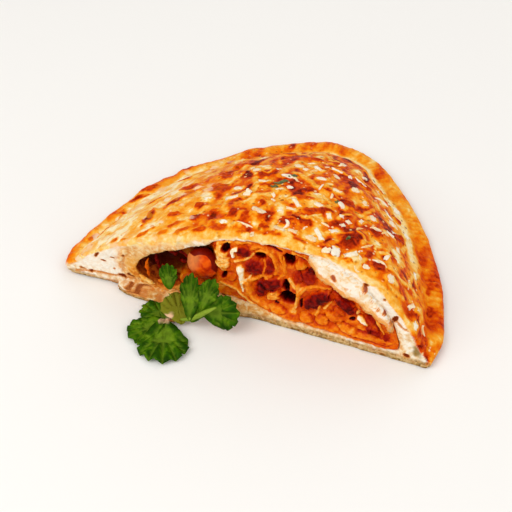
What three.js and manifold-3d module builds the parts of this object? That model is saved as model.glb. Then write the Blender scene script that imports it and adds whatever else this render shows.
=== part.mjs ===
// Half of a large pizza pocket: a puffed dough crust with a crimped rim, cut straight across so that the
// filling and a layer of soft cheese show, with a sprig of parsley laid against the cut.
//
// Units are millimetres and +Z is up. The crust stands on its flat underside, whose centre is the origin.
// The cut faces -Y, the crimped rim curves round behind it, and X runs along the cut.
//
// The pocket is made of "fans": bodies spread over the half-round plan. A place in the plan is given by a
// turn, 0 at the right end of the cut, 0.5 at the back and 1 at the left end, and by a reach, 0 at the
// middle of the cut and 1 at the outline.

import * as THREE from "three";
import { mergeVertices } from "three/addons/utils/BufferGeometryUtils.js";
import Module from "manifold-3d";

const wasm = await Module();
wasm.setup();

// ---- driving dimensions ----

const pocket = { width: 200, depth: 143, height: 51 };
const rim = { width: 14, endWidth: 3.5, foot: 6.5, roll: 1.8, edgeHeight: 3.2, edgeRound: 3.5 };
const crimps = { count: 44, depth: 0.6 };
const dome = { right: [4.2, 0.85], back: [2.3, 0.85], left: [1.55, 0.7] }; // powers of the three slopes
const crust = { roof: 3.6, floorLeft: 12.5, floorRight: 5, wallRight: 13, wallLeft: 36, seamGap: 1.6 };
const seam = { right: 9, left: 20 }; // height at which the room inside the dough closes
const cut = { lean: 0.15, fadeDepth: 45, tipLift: 1.5, tipFrom: 84 };
const knife = { setBack: 1.6, wave: 2.4, waveLength: 140, crestAt: 22 }; // line of the cut in the plan
const lip = { from: -67, to: 6, reach: 2.6, thickness: 5.5, root: 8 };
const hollow = { at: [-45, 2, 22.5], size: [15, 16, 9.5] };
const tomato = { at: [-23, 3.5, 31], size: [6.5, 6, 8] };
const cheeseEdge = [[31, 47], [38, 39], [50, 32.5], [62, 29.5], [78, 19], [100, 8]]; // lower side, x and z
const lumps = { rows: 3, columns: 8, from: -30, to: 82, lowest: 12, rowHeight: 13, shift: 4 };
const lump = { radius: [6, 9], flatness: [0.7, 0.95], depth: 0.8, proud: 2.4 };
const leafShape = { thickness: 1.1, teeth: 15, toothDepth: 0.07, lobeDepth: 0.13, lobes: 4.8, opening: 158 };
const stem = { radius: 0.95, sides: 6, steps: 6, fork: [-23.5, -11, 2.2], root: [-31, -4.6, 1.6] };
const gap = 0.35; // kept between touching pieces
const overcut = 12; // how far a cutting body runs out past the cut
const steps = { turns: 132, domeRings: 5, rimRings: 4, roomTurns: 30, roomRings: 6 };

// Leaves of the sprig, counted from the line of the cut: one lies on the ground, one leans on the cut and
// a small one stands before the hollow. Each has its blade's start and length, the heading of its midrib
// in the plan, how steeply that rises, and how far the blade is rolled about it.
const leaves = [
  { base: [-24, -10.5, 1], length: 34, heading: 226, rise: 0, roll: 0, bend: [-23.5, -10.8, 1.6] },
  { base: [-21, -12.5, 4.2], length: 29, heading: 28, rise: 43, roll: 53, bend: [-22, -12, 3] },
  { base: [-36, -5, 12], length: 17, heading: 100, rise: 75, roll: 0, bend: [-29, -8.5, 6] },
];

const cutY = -pocket.depth / 2;
const middleX = 4; // where the fan's rays start, on the line of the cut

// ---- small helpers ----

const clamp01 = (value) => Math.min(1, Math.max(0, value));
const mix = (a, b, share) => a + (b - a) * share;
const smooth = (value) => clamp01(value) ** 2 * (3 - 2 * clamp01(value));
const inSteps = (count, value) => Array.from({ length: count + 1 }, (_, i) => value(i / count));

// The same spread of numbers on every run, from 0 to 1.
function makeSpread(seed) {
  let state = seed;
  return () => {
    state = (state * 1664525 + 1013904223) % 4294967296;
    return state / 4294967296;
  };
}

function toManifold(geometry) {
  const bare = geometry.clone();
  bare.deleteAttribute("normal");
  bare.deleteAttribute("uv");
  const merged = mergeVertices(bare, 1e-4);
  const corners = merged.index.array;
  const triVerts = [];
  for (let i = 0; i < corners.length; i += 3) {
    const [a, b, c] = [corners[i], corners[i + 1], corners[i + 2]];
    if (a !== b && b !== c && c !== a) triVerts.push(a, b, c);
  }
  const vertProperties = merged.attributes.position.array;
  const mesh = new wasm.Mesh({ numProp: 3, vertProperties, triVerts: new Uint32Array(triVerts) });
  return new wasm.Manifold(mesh);
}

function toGeometry(manifold) {
  const made = manifold.getMesh();
  const geometry = new THREE.BufferGeometry();
  geometry.setAttribute("position", new THREE.BufferAttribute(made.vertProperties, 3));
  geometry.setIndex(new THREE.BufferAttribute(made.triVerts, 1));
  geometry.computeVertexNormals();
  return geometry;
}

// ---- the plan and the dome ----

// Outline of the pocket from the right end of the cut, round the back, to the left end. It is a little
// fuller on the right, as a hand-shaped pocket is.
const outline = new THREE.SplineCurve(
  [
    [98, 0],
    [100, 20],
    [91.5, 54],
    [76, 87],
    [55, 116.5],
    [32, 138],
    [6, 143],
    [-24, 131],
    [-55, 106],
    [-80, 75],
    [-94, 41],
    [-100, 14],
    [-98, 0],
  ].map(([x, behind]) => new THREE.Vector2(x, behind)),
);

const edgePoint = (turn) => outline.getPoint(clamp01(turn));

// Length of a ray of the fan, from its start to the outline.
function raySpan(turn) {
  const end = edgePoint(turn);
  return Math.hypot(end.x - middleX, end.y);
}

// How full the dome is along a ray: a steep shoulder on the right, a long slope on the left.
function domeFullness(turn, reach) {
  const slope = ([inner, outer]) => Math.pow(1 - Math.pow(reach, inner), outer);
  const side = Math.cos(Math.PI * turn);
  return mix(slope(dome.back), slope(side > 0 ? dome.right : dome.left), Math.abs(side) ** 1.5);
}

// The rim is broad round the back and narrows to nothing much at both ends of the cut.
function rimWidth(turn) {
  return mix(rim.endWidth, rim.width, Math.sin(Math.PI * turn) ** 0.6);
}

function crustTop(turn, reach) {
  const start = 1 - rimWidth(turn) / raySpan(turn);
  if (reach <= start) {
    return rim.foot + (pocket.height - rim.foot) * domeFullness(turn, reach / start);
  }
  const across = (reach - start) / (1 - start);
  const roll = rim.roll * Math.sin(Math.PI * Math.min(1, across * 1.4)) * Math.sin(Math.PI * turn);
  const crimp = crimps.depth * Math.cos(2 * Math.PI * crimps.count * turn) * Math.sin(Math.PI * across);
  const roundOff = Math.sqrt(1 - Math.max(0, across * 1.6 - 0.6) ** 2);
  return mix(rim.edgeHeight, rim.foot + roll + crimp, roundOff);
}

function crustBottom(turn, reach) {
  const fromEdge = (1 - reach) * raySpan(turn);
  const rise = clamp01(1 - fromEdge / rim.edgeRound);
  return rim.edgeHeight * (1 - Math.sqrt(1 - rise * rise));
}

// How far back from the plain fan the knife left the face of the cut: its line wanders, and it leans back
// towards the top.
function faceSetBack(x, z) {
  const wander = knife.wave * Math.cos((2 * Math.PI * (x - knife.crestAt)) / knife.waveLength);
  return knife.setBack + wander + cut.lean * z;
}

// Carries a point of the plain fan to where the knife left it. The left tip has also curled up a little.
function settle(point) {
  const near = 1 - smooth((point.y - cutY) / cut.fadeDepth);
  point.y += near * faceSetBack(point.x, point.z);
  point.z += near * cut.tipLift * smooth((-point.x - cut.tipFrom) / (pocket.width / 2 - cut.tipFrom));
  return point;
}

// A closed body over the fan, between two heights that depend on turn and reach. Its outline is pulled in
// by inset, and it runs out past the cut by front.
function fanBody({ top, topReaches, bottom, bottomReaches, turns, inset = () => 0, front = 0 }) {
  const columns = inSteps(turns, (turn) => ({ turn, forward: 0 }));
  if (front > 0) {
    columns.unshift({ turn: 0, forward: front });
    columns.push({ turn: 1, forward: front });
  }
  const place = ({ turn, forward }, reach, height) => {
    const end = edgePoint(turn);
    const share = reach * (1 - inset(turn) / raySpan(turn));
    const behind = end.y * share - forward;
    return settle(new THREE.Vector3(mix(middleX, end.x, share), cutY + behind, height(turn, reach)));
  };
  const upper = columns.map((column) => topReaches.map((reach) => place(column, reach, top)));
  const lower = columns.map((column) => bottomReaches.map((reach) => place(column, reach, bottom)));
  const corners = [];

  const skin = (rows, outward) => {
    for (let j = 0; j < rows.length - 1; j++) {
      for (let i = 0; i < rows[j].length - 1; i++) {
        const [a, b, c, d] = [rows[j][i], rows[j][i + 1], rows[j + 1][i + 1], rows[j + 1][i]];
        corners.push(...(outward ? [a, b, c, a, c, d] : [a, c, b, a, d, c]));
      }
    }
  };
  // Fills an end of the fan, between its upper and lower edge.
  const endFace = (column, outward) => {
    const [high, low] = [upper[column], lower[column]];
    let [i, j] = [0, 0];
    while (i < high.length - 1 || j < low.length - 1) {
      const lowDone = j === low.length - 1;
      const highDone = i === high.length - 1;
      const alongTop = lowDone || (!highDone && topReaches[i + 1] <= bottomReaches[j + 1]);
      const next = alongTop ? high[i + 1] : low[j + 1];
      corners.push(...(outward ? [high[i], low[j], next] : [high[i], next, low[j]]));
      if (alongTop) i++;
      else j++;
    }
  };

  skin(upper, true);
  skin(lower, false);
  const rimRows = columns.map((_, j) => [upper[j].at(-1), lower[j].at(-1)]);
  skin(rimRows, true);
  endFace(0, true);
  endFace(columns.length - 1, false);
  return toManifold(new THREE.BufferGeometry().setFromPoints(corners));
}

// ---- dough ----

const quarterWave = (share) => Math.sin((Math.PI / 2) * share);
const domeReach = 1 - rim.width / (pocket.width / 2);
const crustTopReaches = [
  ...inSteps(steps.domeRings, (share) => domeReach * share),
  ...inSteps(steps.rimRings, (share) => mix(domeReach, 1, quarterWave(share))).slice(1),
];
const crustBottomReaches = [0, 1 - rim.edgeRound / (pocket.width / 2), 0.99, 1];
const roomReaches = inSteps(steps.roomRings, quarterWave);

// The room inside the dough, or a body that fills it with clear all round.
function roomBody(clear, front) {
  const wall = (turn) => mix(crust.wallRight, crust.wallLeft, smooth(turn * 3 - 2));
  const seamAt = (turn) => mix(seam.right, seam.left, smooth(turn * 2 - 1));
  const share = (turn) => 1 - (rimWidth(turn) + wall(turn)) / raySpan(turn);
  const closing = (reach) => Math.sqrt(1 - reach ** 5);
  const top = (turn, reach) => {
    const roof = crustTop(turn, reach * share(turn)) - crust.roof;
    return mix(seamAt(turn) + crust.seamGap, roof, closing(reach)) - clear;
  };
  const bottom = (turn, reach) => {
    const x = mix(middleX, edgePoint(turn).x, reach * share(turn));
    const floor = mix(crust.floorLeft, crust.floorRight, smooth((x + 18) / 50));
    return mix(seamAt(turn) - crust.seamGap, floor, closing(reach)) + clear;
  };
  return fanBody({
    top,
    topReaches: roomReaches,
    bottom,
    bottomReaches: roomReaches,
    turns: steps.roomTurns,
    inset: (turn) => rimWidth(turn) + wall(turn) + clear,
    front,
  });
}

// A fold of the base dough that stands out under the left half of the cut.
function baseLip() {
  const bevel = 1.2;
  const points = (setBack) =>
    inSteps(16, (along) => {
      const x = mix(lip.from, lip.to, along);
      return new THREE.Vector2(x, cutY + faceSetBack(x, 0) + setBack(along));
    });
  const fold = points((along) => -lip.reach * Math.sin(Math.PI * along ** 0.6) ** 0.7);
  const root = points(() => lip.root).reverse();
  const geometry = new THREE.ExtrudeGeometry(new THREE.Shape([...fold, ...root]), {
    depth: lip.thickness - 2 * bevel,
    bevelThickness: bevel,
    bevelSize: bevel,
    bevelOffset: -bevel,
    bevelSegments: 2,
  });
  geometry.translate(0, 0, bevel);
  return toManifold(geometry);
}

function makeCrust() {
  const dough = fanBody({
    top: crustTop,
    topReaches: crustTopReaches,
    bottom: crustBottom,
    bottomReaches: crustBottomReaches,
    turns: steps.turns,
  });
  return dough.add(baseLip()).subtract(roomBody(0, overcut));
}

// ---- filling and cheese ----

// An oval ball, placed by how far its middle lies behind the plain line of the cut.
function chunk([x, behind, z], [rx, ry, rz], detail) {
  const geometry = new THREE.IcosahedronGeometry(1, detail);
  geometry.scale(rx, ry, rz);
  geometry.translate(x, cutY + behind, z);
  return toManifold(geometry);
}

// A body with one outline from side to side of the pocket or from its cut to its back.
function slab(points, length) {
  const shape = new THREE.Shape(points.map(([across, up]) => new THREE.Vector2(across, up)));
  return new THREE.ExtrudeGeometry(shape, { depth: length, bevelEnabled: false });
}

// All that lies above the cheese's lower side, right through the pocket.
function cheeseRegion(clear) {
  const overTop = pocket.height + overcut;
  const lowerSide = cheeseEdge.map(([x, z]) => [x - clear, z - clear]);
  const upperSide = [
    [pocket.width / 2, overTop],
    [cheeseEdge[0][0] - clear, overTop],
  ];
  const geometry = slab([...lowerSide, ...upperSide], pocket.depth * 2);
  geometry.rotateX(Math.PI / 2);
  geometry.translate(0, pocket.depth, 0);
  return toManifold(geometry);
}

// The filling's body, which stops a little short of the face; the chunks stand out of it.
function fillingCore() {
  const [low, high] = [-overcut, pocket.height + overcut];
  const start = cutY + knife.setBack + lump.radius[0];
  const outlineOfSide = [
    [start + cut.lean * low, low],
    [pocket.depth, low],
    [pocket.depth, high],
    [start + cut.lean * high, high],
  ];
  const geometry = slab(outlineOfSide, pocket.width);
  geometry.rotateX(Math.PI / 2);
  geometry.rotateZ(Math.PI / 2);
  geometry.translate(-pocket.width / 2, 0, 0);
  return toManifold(geometry);
}

// Chunks that stand out of the cut in loose rows.
function faceLumps() {
  const spread = makeSpread(11);
  const made = [];
  for (let row = 0; row < lumps.rows; row++) {
    for (let column = 0; column < lumps.columns; column++) {
      const x = mix(lumps.from, lumps.to, (column + 0.5 * (row % 2) + 0.4 * spread()) / lumps.columns);
      const z = lumps.lowest + row * lumps.rowHeight + lumps.shift * spread();
      const radius = mix(...lump.radius, spread());
      const behind = faceSetBack(x, z) + radius * lump.depth - lump.proud * spread();
      const height = radius * mix(...lump.flatness, spread());
      made.push(chunk([x, behind, z], [radius, radius * lump.depth, height], 1));
    }
  }
  return wasm.Manifold.union(made);
}

function makeTomato(clear) {
  const [x, behind, z] = tomato.at;
  const size = tomato.size.map((radius) => radius + clear);
  return chunk([x, behind + faceSetBack(x, z), z], size, 3).intersect(roomBody(gap, overcut));
}

function makeCheese() {
  return roomBody(gap, 1).intersect(cheeseRegion(0)).subtract(makeTomato(gap));
}

function makeFilling() {
  const [x, behind, z] = hollow.at;
  return roomBody(gap, lump.proud)
    .intersect(fillingCore().add(faceLumps()))
    .subtract(chunk([x, behind + faceSetBack(x, z), z], hollow.size, 2))
    .subtract(makeTomato(gap))
    .subtract(cheeseRegion(gap));
}

// ---- parsley ----

const fromCut = ([x, behind, z]) => new THREE.Vector3(x, cutY + behind, z);

// A flat blade with rounded lobes and small teeth, whose stalk end is at the origin.
function leafBlade(length) {
  const opening = THREE.MathUtils.degToRad(leafShape.opening);
  const half = 0.5 * length;
  const around = inSteps(leafShape.teeth * 4, (share) => {
    const angle = mix(opening, -opening, share);
    const lobe = 1 - leafShape.lobeDepth * (1 - Math.cos(leafShape.lobes * angle));
    const tooth = 1 + leafShape.toothDepth * Math.cos(2 * Math.PI * leafShape.teeth * share);
    const radius = half * lobe * tooth;
    return new THREE.Vector2(half + radius * Math.cos(angle), radius * Math.sin(angle));
  });
  const shape = new THREE.Shape([new THREE.Vector2(0, 0), ...around]);
  const geometry = new THREE.ExtrudeGeometry(shape, { depth: leafShape.thickness, bevelEnabled: false });
  geometry.translate(0, 0, -leafShape.thickness / 2);
  return geometry;
}

function stalk(points) {
  const corner = (share) => {
    const angle = 2 * Math.PI * share;
    return new THREE.Vector2(stem.radius * Math.cos(angle), stem.radius * Math.sin(angle));
  };
  const section = new THREE.Shape(inSteps(stem.sides, corner).slice(1));
  const extrudePath = new THREE.CatmullRomCurve3(points.map(fromCut));
  return toManifold(new THREE.ExtrudeGeometry(section, { steps: stem.steps, extrudePath }));
}

function makeParsley() {
  let sprig = stalk([stem.root, [-27, -8, 2], stem.fork]);
  for (const { base, length, heading, rise, roll, bend } of leaves) {
    const blade = leafBlade(length);
    blade.rotateX(THREE.MathUtils.degToRad(roll));
    blade.rotateY(-THREE.MathUtils.degToRad(rise));
    blade.rotateZ(THREE.MathUtils.degToRad(heading));
    const start = fromCut(base);
    blade.translate(start.x, start.y, start.z);
    sprig = sprig.add(toManifold(blade)).add(stalk([stem.fork, bend, base]));
  }
  return sprig;
}

// ---- the assembled pocket ----

function piece(name, manifold, color, roughness) {
  const material = new THREE.MeshStandardMaterial({ color, roughness, metalness: 0 });
  const mesh = new THREE.Mesh(toGeometry(manifold), material);
  mesh.name = name;
  return mesh;
}

const pizzaPocket = new THREE.Group();
pizzaPocket.add(piece("crust", makeCrust(), 0xe39a3c, 0.6));
pizzaPocket.add(piece("filling", makeFilling(), 0xb0431a, 0.35));
pizzaPocket.add(piece("tomato_piece", makeTomato(0), 0xc63d12, 0.3));
pizzaPocket.add(piece("cheese_layer", makeCheese(), 0xf6e6c4, 0.4));
pizzaPocket.add(piece("parsley_sprig", makeParsley(), 0x3f7a16, 0.5));

export default pizzaPocket;
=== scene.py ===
import math
import random

import bpy
import numpy as np
from mathutils import Matrix, Vector, noise
from mathutils.bvhtree import BVHTree
from mathutils.geometry import convex_hull_2d


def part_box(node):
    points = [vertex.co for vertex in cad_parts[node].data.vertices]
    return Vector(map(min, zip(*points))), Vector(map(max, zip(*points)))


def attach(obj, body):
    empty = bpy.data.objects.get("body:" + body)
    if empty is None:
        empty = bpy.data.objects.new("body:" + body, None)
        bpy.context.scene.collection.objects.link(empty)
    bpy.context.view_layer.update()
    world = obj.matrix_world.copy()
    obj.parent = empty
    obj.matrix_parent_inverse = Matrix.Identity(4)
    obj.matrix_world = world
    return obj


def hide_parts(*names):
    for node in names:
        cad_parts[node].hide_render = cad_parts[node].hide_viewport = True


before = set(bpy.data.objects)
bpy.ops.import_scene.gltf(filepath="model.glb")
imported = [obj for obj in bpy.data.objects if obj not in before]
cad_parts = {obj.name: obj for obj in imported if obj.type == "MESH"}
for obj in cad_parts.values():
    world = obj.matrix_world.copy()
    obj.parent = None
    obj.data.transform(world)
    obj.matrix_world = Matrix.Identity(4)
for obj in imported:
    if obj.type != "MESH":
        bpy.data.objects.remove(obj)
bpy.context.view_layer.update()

# Half of a large pizza pocket, cut straight across. Metres, +Z up, and the cut faces -Y.
# The crust, filling, tomato piece, cheese layer and parsley are each rebuilt over their CAD solid.
# Lists give places and sizes in millimetres: in the plan as x and how far behind the cut, and on the
# cut face as x and height. Headings and tilts are in degrees.

mm = 0.001
upwards = Vector((0, 0, 1))
downwards = Vector((0, 0, -1))


# Selects these pieces and nothing else, with the first one active.
def pickOnly(*pieces):
    bpy.ops.object.select_all(action="DESELECT")
    for piece in pieces:
        piece.select_set(True)
    bpy.context.view_layer.objects.active = pieces[0]


def joinPieces(pieces, name):
    pickOnly(*pieces)
    bpy.ops.object.join()
    pieces[0].name = name
    pieces[0].data.name = name
    return pieces[0]


def applyModifier(piece, kind, **settings):
    pickOnly(piece)
    modifier = piece.modifiers.new(kind.lower(), kind)
    for name, value in settings.items():
        setattr(modifier, name, value)
    bpy.ops.object.modifier_apply(modifier=modifier.name)


def readVertices(piece, what):
    values = np.empty(len(piece.data.vertices) * 3)
    piece.data.vertices.foreach_get(what, values)
    return values.reshape(-1, 3)


def readPoints(piece):
    return readVertices(piece, "co")


def readNormals(piece):
    return readVertices(piece, "normal")


def writePoints(piece, points):
    piece.data.vertices.foreach_set("co", points.ravel())
    piece.data.update()


# Thins the hidden part of a remeshed piece, whose faces all have four sides, to bring the whole
# piece down to so many triangles.
def thinHidden(piece, hidden, mostTriangles):
    corners = np.empty(len(piece.data.loops), np.int32)
    piece.data.loops.foreach_get("vertex_index", corners)
    marks = hidden[corners.reshape(-1, 4)].min(axis=1) > 0.5
    spare = mostTriangles - 2 * (len(marks) - marks.sum())
    pickOnly(piece)
    bpy.context.tool_settings.mesh_select_mode = (False, False, True)
    bpy.ops.object.mode_set(mode="EDIT")
    bpy.ops.mesh.select_all(action="DESELECT")
    bpy.ops.object.mode_set(mode="OBJECT")
    piece.data.polygons.foreach_set("select", marks)
    bpy.ops.object.mode_set(mode="EDIT")
    bpy.ops.mesh.decimate(ratio=min(1.0, max(0.04, spare / (2 * marks.sum()))))
    bpy.ops.object.mode_set(mode="OBJECT")
    left = sum(len(face.vertices) - 2 for face in piece.data.polygons)
    print(piece.name, "thinned from", 2 * len(marks), "to", left)


# Stores a value for each vertex, which the piece's material reads by name.
def paint(piece, name, values):
    layer = piece.data.attributes.new(name, "FLOAT", "POINT")
    layer.data.foreach_set("value", np.clip(values, 0, 1).astype(np.float32))


def paintAll(piece, name, value):
    paint(piece, name, np.full(len(piece.data.vertices), value))


# A value at each vertex that a modifier reads as its vertex group, in steps of a twentieth.
def makeGroup(piece, name, values):
    group = piece.vertex_groups.new(name=name)
    levels = np.round(np.clip(values, 0, 1) * 20).astype(int)
    for level in range(1, 21):
        chosen = np.nonzero(levels == level)[0]
        if len(chosen):
            group.add(chosen.tolist(), level / 20, "REPLACE")


# Soft noise from -1 to 1 at each point, with lumps of the given size.
def noiseAt(points, size, shift=0.0, octaves=1):
    total = np.zeros(len(points))
    for octave in range(octaves):
        scaled = points * (2 ** octave / size) + shift + 7.3 * octave
        total += np.array([noise.noise(Vector(p)) for p in scaled]) / 2 ** octave
    return total


def clamp01(values):
    return np.clip(values, 0, 1)


# 0 below start, 1 above end, smooth between them.
def smoothStep(values, start, end):
    share = clamp01((values - start) / (end - start))
    return share * share * (3 - 2 * share)


# The same for lengths, between a start and an end in millimetres.
def rise(lengths, start, end):
    return smoothStep(lengths, start * mm, end * mm)


def fall(lengths, start, end):
    return 1 - rise(lengths, start, end)


# Follows the values above zero and stays near zero below, with a soft change between them.
def softRise(values, width):
    return 0.5 * (values + np.sqrt(values ** 2 + width ** 2))


def copyNode(nodeName, pieceName):
    piece = bpy.data.objects.new(pieceName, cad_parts[nodeName].data.copy())
    bpy.context.scene.collection.objects.link(piece)
    piece.data.name = pieceName
    piece.data.materials.clear()
    pickOnly(piece)
    bpy.ops.object.mode_set(mode="EDIT")
    bpy.ops.mesh.select_all(action="SELECT")
    bpy.ops.mesh.remove_doubles(threshold=0.00001)
    bpy.ops.object.mode_set(mode="OBJECT")
    return piece


# A copy of a CAD node with a fine, even mesh and softened corners.
def remeshNode(nodeName, pieceName, voxel, softness, passes):
    piece = copyNode(nodeName, pieceName)
    applyModifier(piece, "REMESH", mode="VOXEL", voxel_size=voxel)
    if passes:
        applyModifier(piece, "SMOOTH", factor=softness, iterations=passes)
    return piece


# A tree for casting rays at a piece's surface.
def surfaceOf(piece):
    corners = [Vector(p) for p in readPoints(piece)]
    return BVHTree.FromPolygons(corners, [face.vertices[:] for face in piece.data.polygons])


# Gives a finished piece its material and its body, and hides the node it stands for.
def finishPiece(piece, material, slotName, *nodeNames):
    piece.data.materials.clear()
    piece.data.materials.append(material)
    pickOnly(piece)
    bpy.ops.object.shade_smooth()
    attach(piece, "root")
    if nodeNames:
        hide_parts(*nodeNames)
    print(piece.name, len(piece.data.polygons), "faces")


def tone(hexText):
    levels = [int(hexText[i:i + 2], 16) / 255 for i in (1, 3, 5)]
    linear = [c / 12.92 if c <= 0.04045 else ((c + 0.055) / 1.055) ** 2.4 for c in levels]
    return (*linear, 1.0)


# Sets an input of a node to a plain value, or links it to another node's output.
def setInput(tree, node, name, value):
    if isinstance(value, bpy.types.NodeSocket):
        tree.links.new(value, node.inputs[name])
    else:
        node.inputs[name].default_value = value


def addNode(tree, kind, inputs=None, **settings):
    node = tree.nodes.new(kind)
    for name, value in settings.items():
        setattr(node, name, value)
    for name, value in (inputs or {}).items():
        setInput(tree, node, name, value)
    return node


def calc(tree, operation, *values):
    return addNode(tree, "ShaderNodeMath", dict(enumerate(values)), operation=operation).outputs[0]


def ramp(tree, value, stops):
    node = addNode(tree, "ShaderNodeValToRGB", {"Fac": value})
    elements = node.color_ramp.elements
    while len(elements) < len(stops):
        elements.new(0.5)
    for element, (place, hexText) in zip(elements, stops):
        element.position = place
        element.color = tone(hexText)
    return node.outputs["Color"]


# Stretches a value so that start gives 0 and end gives 1.
def spreadValue(tree, value, start, end):
    limits = {"Value": value, "From Min": start, "From Max": end}
    return addNode(tree, "ShaderNodeMapRange", limits, interpolation_type="SMOOTHSTEP").outputs["Result"]


def attribute(tree, name):
    return addNode(tree, "ShaderNodeAttribute", attribute_name=name).outputs["Fac"]


# A painted value that a pattern changes by up to half the amount each way.
def unevenValue(tree, name, pattern, amount):
    value = calc(tree, "MULTIPLY_ADD", pattern, amount, attribute(tree, name))
    return calc(tree, "SUBTRACT", value, amount / 2)


# Lays a colour over another. The mask is a socket or the name of a painted value, and it can be kept
# within a second painted value.
def layOver(tree, colour, mask, above, strength=1.0, within=None):
    if isinstance(mask, str):
        mask = attribute(tree, mask)
    if within:
        mask = calc(tree, "MULTIPLY", mask, attribute(tree, within))
    if strength < 1:
        mask = calc(tree, "MULTIPLY", mask, strength)
    if isinstance(above, str):
        above = tone(above)
    mix = {"Factor": mask, 6: colour, 7: above}
    return addNode(tree, "ShaderNodeMix", mix, data_type="RGBA").outputs[2]


def makeGroupTree(name, inputs, outputs):
    tree = bpy.data.node_groups.new(name, "ShaderNodeTree")
    for title, kind, value in inputs:
        socket = tree.interface.new_socket(title, in_out="INPUT", socket_type=kind)
        if value is not None:
            socket.default_value = value
    for title in outputs:
        tree.interface.new_socket(title, in_out="OUTPUT", socket_type="NodeSocketFloat")
    return tree, tree.nodes.new("NodeGroupInput").outputs, tree.nodes.new("NodeGroupOutput")


def placeGroup(tree, group, inputs):
    return addNode(tree, "ShaderNodeGroup", inputs, node_tree=group).outputs


# Uneven patches of two scales, as on anything baked or cooked.
def makeMottle():
    tree, given, result = makeGroupTree(
        "mottle",
        [
            ("Place", "NodeSocketVector", None),
            ("Patch Size", "NodeSocketFloat", 0.006),
            ("Distortion", "NodeSocketFloat", 0.6),
        ],
        ["Patches", "Fine"],
    )
    place = given["Place"]
    scale = calc(tree, "DIVIDE", 1.0, given["Patch Size"])
    coarse = {"Scale": scale, "Detail": 3.0, "Roughness": 0.55, "Distortion": given["Distortion"]}
    patches = addNode(tree, "ShaderNodeTexNoise", {"Vector": place, **coarse})
    grain = {"Scale": calc(tree, "MULTIPLY", scale, 5.0), "Detail": 4.0, "Roughness": 0.6}
    fine = addNode(tree, "ShaderNodeTexNoise", {"Vector": place, **grain})
    tree.links.new(spreadValue(tree, patches.outputs["Fac"], 0.25, 0.75), result.inputs["Patches"])
    tree.links.new(fine.outputs["Fac"], result.inputs["Fine"])
    return tree


# Round specks with ragged edges. Amount is the share of the cells that have one.
def makeSpecks():
    tree, given, result = makeGroupTree(
        "specks",
        [
            ("Place", "NodeSocketVector", None),
            ("Cell Size", "NodeSocketFloat", 0.004),
            ("Radius", "NodeSocketFloat", 0.3),
            ("Amount", "NodeSocketFloat", 0.3),
        ],
        ["Mask"],
    )
    place = given["Place"]
    scale = calc(tree, "DIVIDE", 1.0, given["Cell Size"])
    wobbleScale = calc(tree, "MULTIPLY", scale, 2.6)
    wobble = addNode(tree, "ShaderNodeTexNoise", {"Vector": place, "Scale": wobbleScale, "Detail": 2.0})
    cells = addNode(tree, "ShaderNodeTexVoronoi", {"Vector": place, "Scale": scale})
    edge = calc(tree, "ADD", cells.outputs["Distance"], calc(tree, "MULTIPLY", wobble.outputs["Fac"], 0.5))
    inside = calc(tree, "SUBTRACT", calc(tree, "ADD", given["Radius"], 0.25), edge)
    parts = addNode(tree, "ShaderNodeSeparateColor", {"Color": cells.outputs["Color"]})
    chosen = calc(tree, "LESS_THAN", parts.outputs["Red"], given["Amount"])
    mask = calc(tree, "MULTIPLY", spreadValue(tree, inside, -0.04, 0.1), chosen)
    tree.links.new(mask, result.inputs["Mask"])
    return tree


mottle = makeMottle()
specks = makeSpecks()


def mottled(tree, place, patchSize, distortion=0.6):
    return placeGroup(tree, mottle, {"Place": place, "Patch Size": patchSize, "Distortion": distortion})


def startMaterial(name):
    material = bpy.data.materials.new(name)
    material.use_nodes = True
    tree = material.node_tree
    tree.nodes.clear()
    shader = tree.nodes.new("ShaderNodeBsdfPrincipled")
    output = tree.nodes.new("ShaderNodeOutputMaterial")
    tree.links.new(shader.outputs["BSDF"], output.inputs["Surface"])
    place = tree.nodes.new("ShaderNodeTexCoord").outputs["Object"]
    return material, tree, shader, place


# Links the colour and the roughness of a material, and presses its grain in so deep.
def endMaterial(material, shader, colour, rough, grain, depth, strength, shine=0.5):
    tree = material.node_tree
    bump = addNode(tree, "ShaderNodeBump", {"Height": grain, "Strength": strength, "Distance": depth})
    ends = {"Base Color": colour, "Roughness": rough, "Normal": bump.outputs["Normal"]}
    for name, value in {**ends, "Specular IOR Level": shine}.items():
        setInput(tree, shader, name, value)
    return material


# The same line as the part's: how far the cut wanders and leans back.
knife = {
    "cutY": -71.5 * mm,
    "setBack": 1.6 * mm,
    "wave": 2.4 * mm,
    "waveLength": 140 * mm,
    "crestAt": 22 * mm,
    "lean": 0.15,
}
cutY = knife["cutY"]
faceOut = Vector((0, -1, knife["lean"])).normalized()


def faceY(x, z):
    turn = 2 * math.pi * (x - knife["crestAt"]) / knife["waveLength"]
    return cutY + knife["setBack"] + knife["wave"] * np.cos(turn) + knife["lean"] * z


# How far each point is behind the face of the cut.
def behindFace(points):
    return points[:, 1] - faceY(points[:, 0], points[:, 2])


# A point of the face, by x and height, moved out of it.
def onFace(x, z, out=0.0):
    return Vector((x * mm, float(faceY(x * mm, z * mm)), z * mm)) + faceOut * out * mm


# The outline of the pocket in the plan, from the crust's own solid.
def planOutline():
    corners = readPoints(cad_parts["crust"])[:, :2]
    corners = corners[corners[:, 1] > cutY - 1 * mm]
    return corners[convex_hull_2d([Vector(p) for p in corners])]


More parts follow.
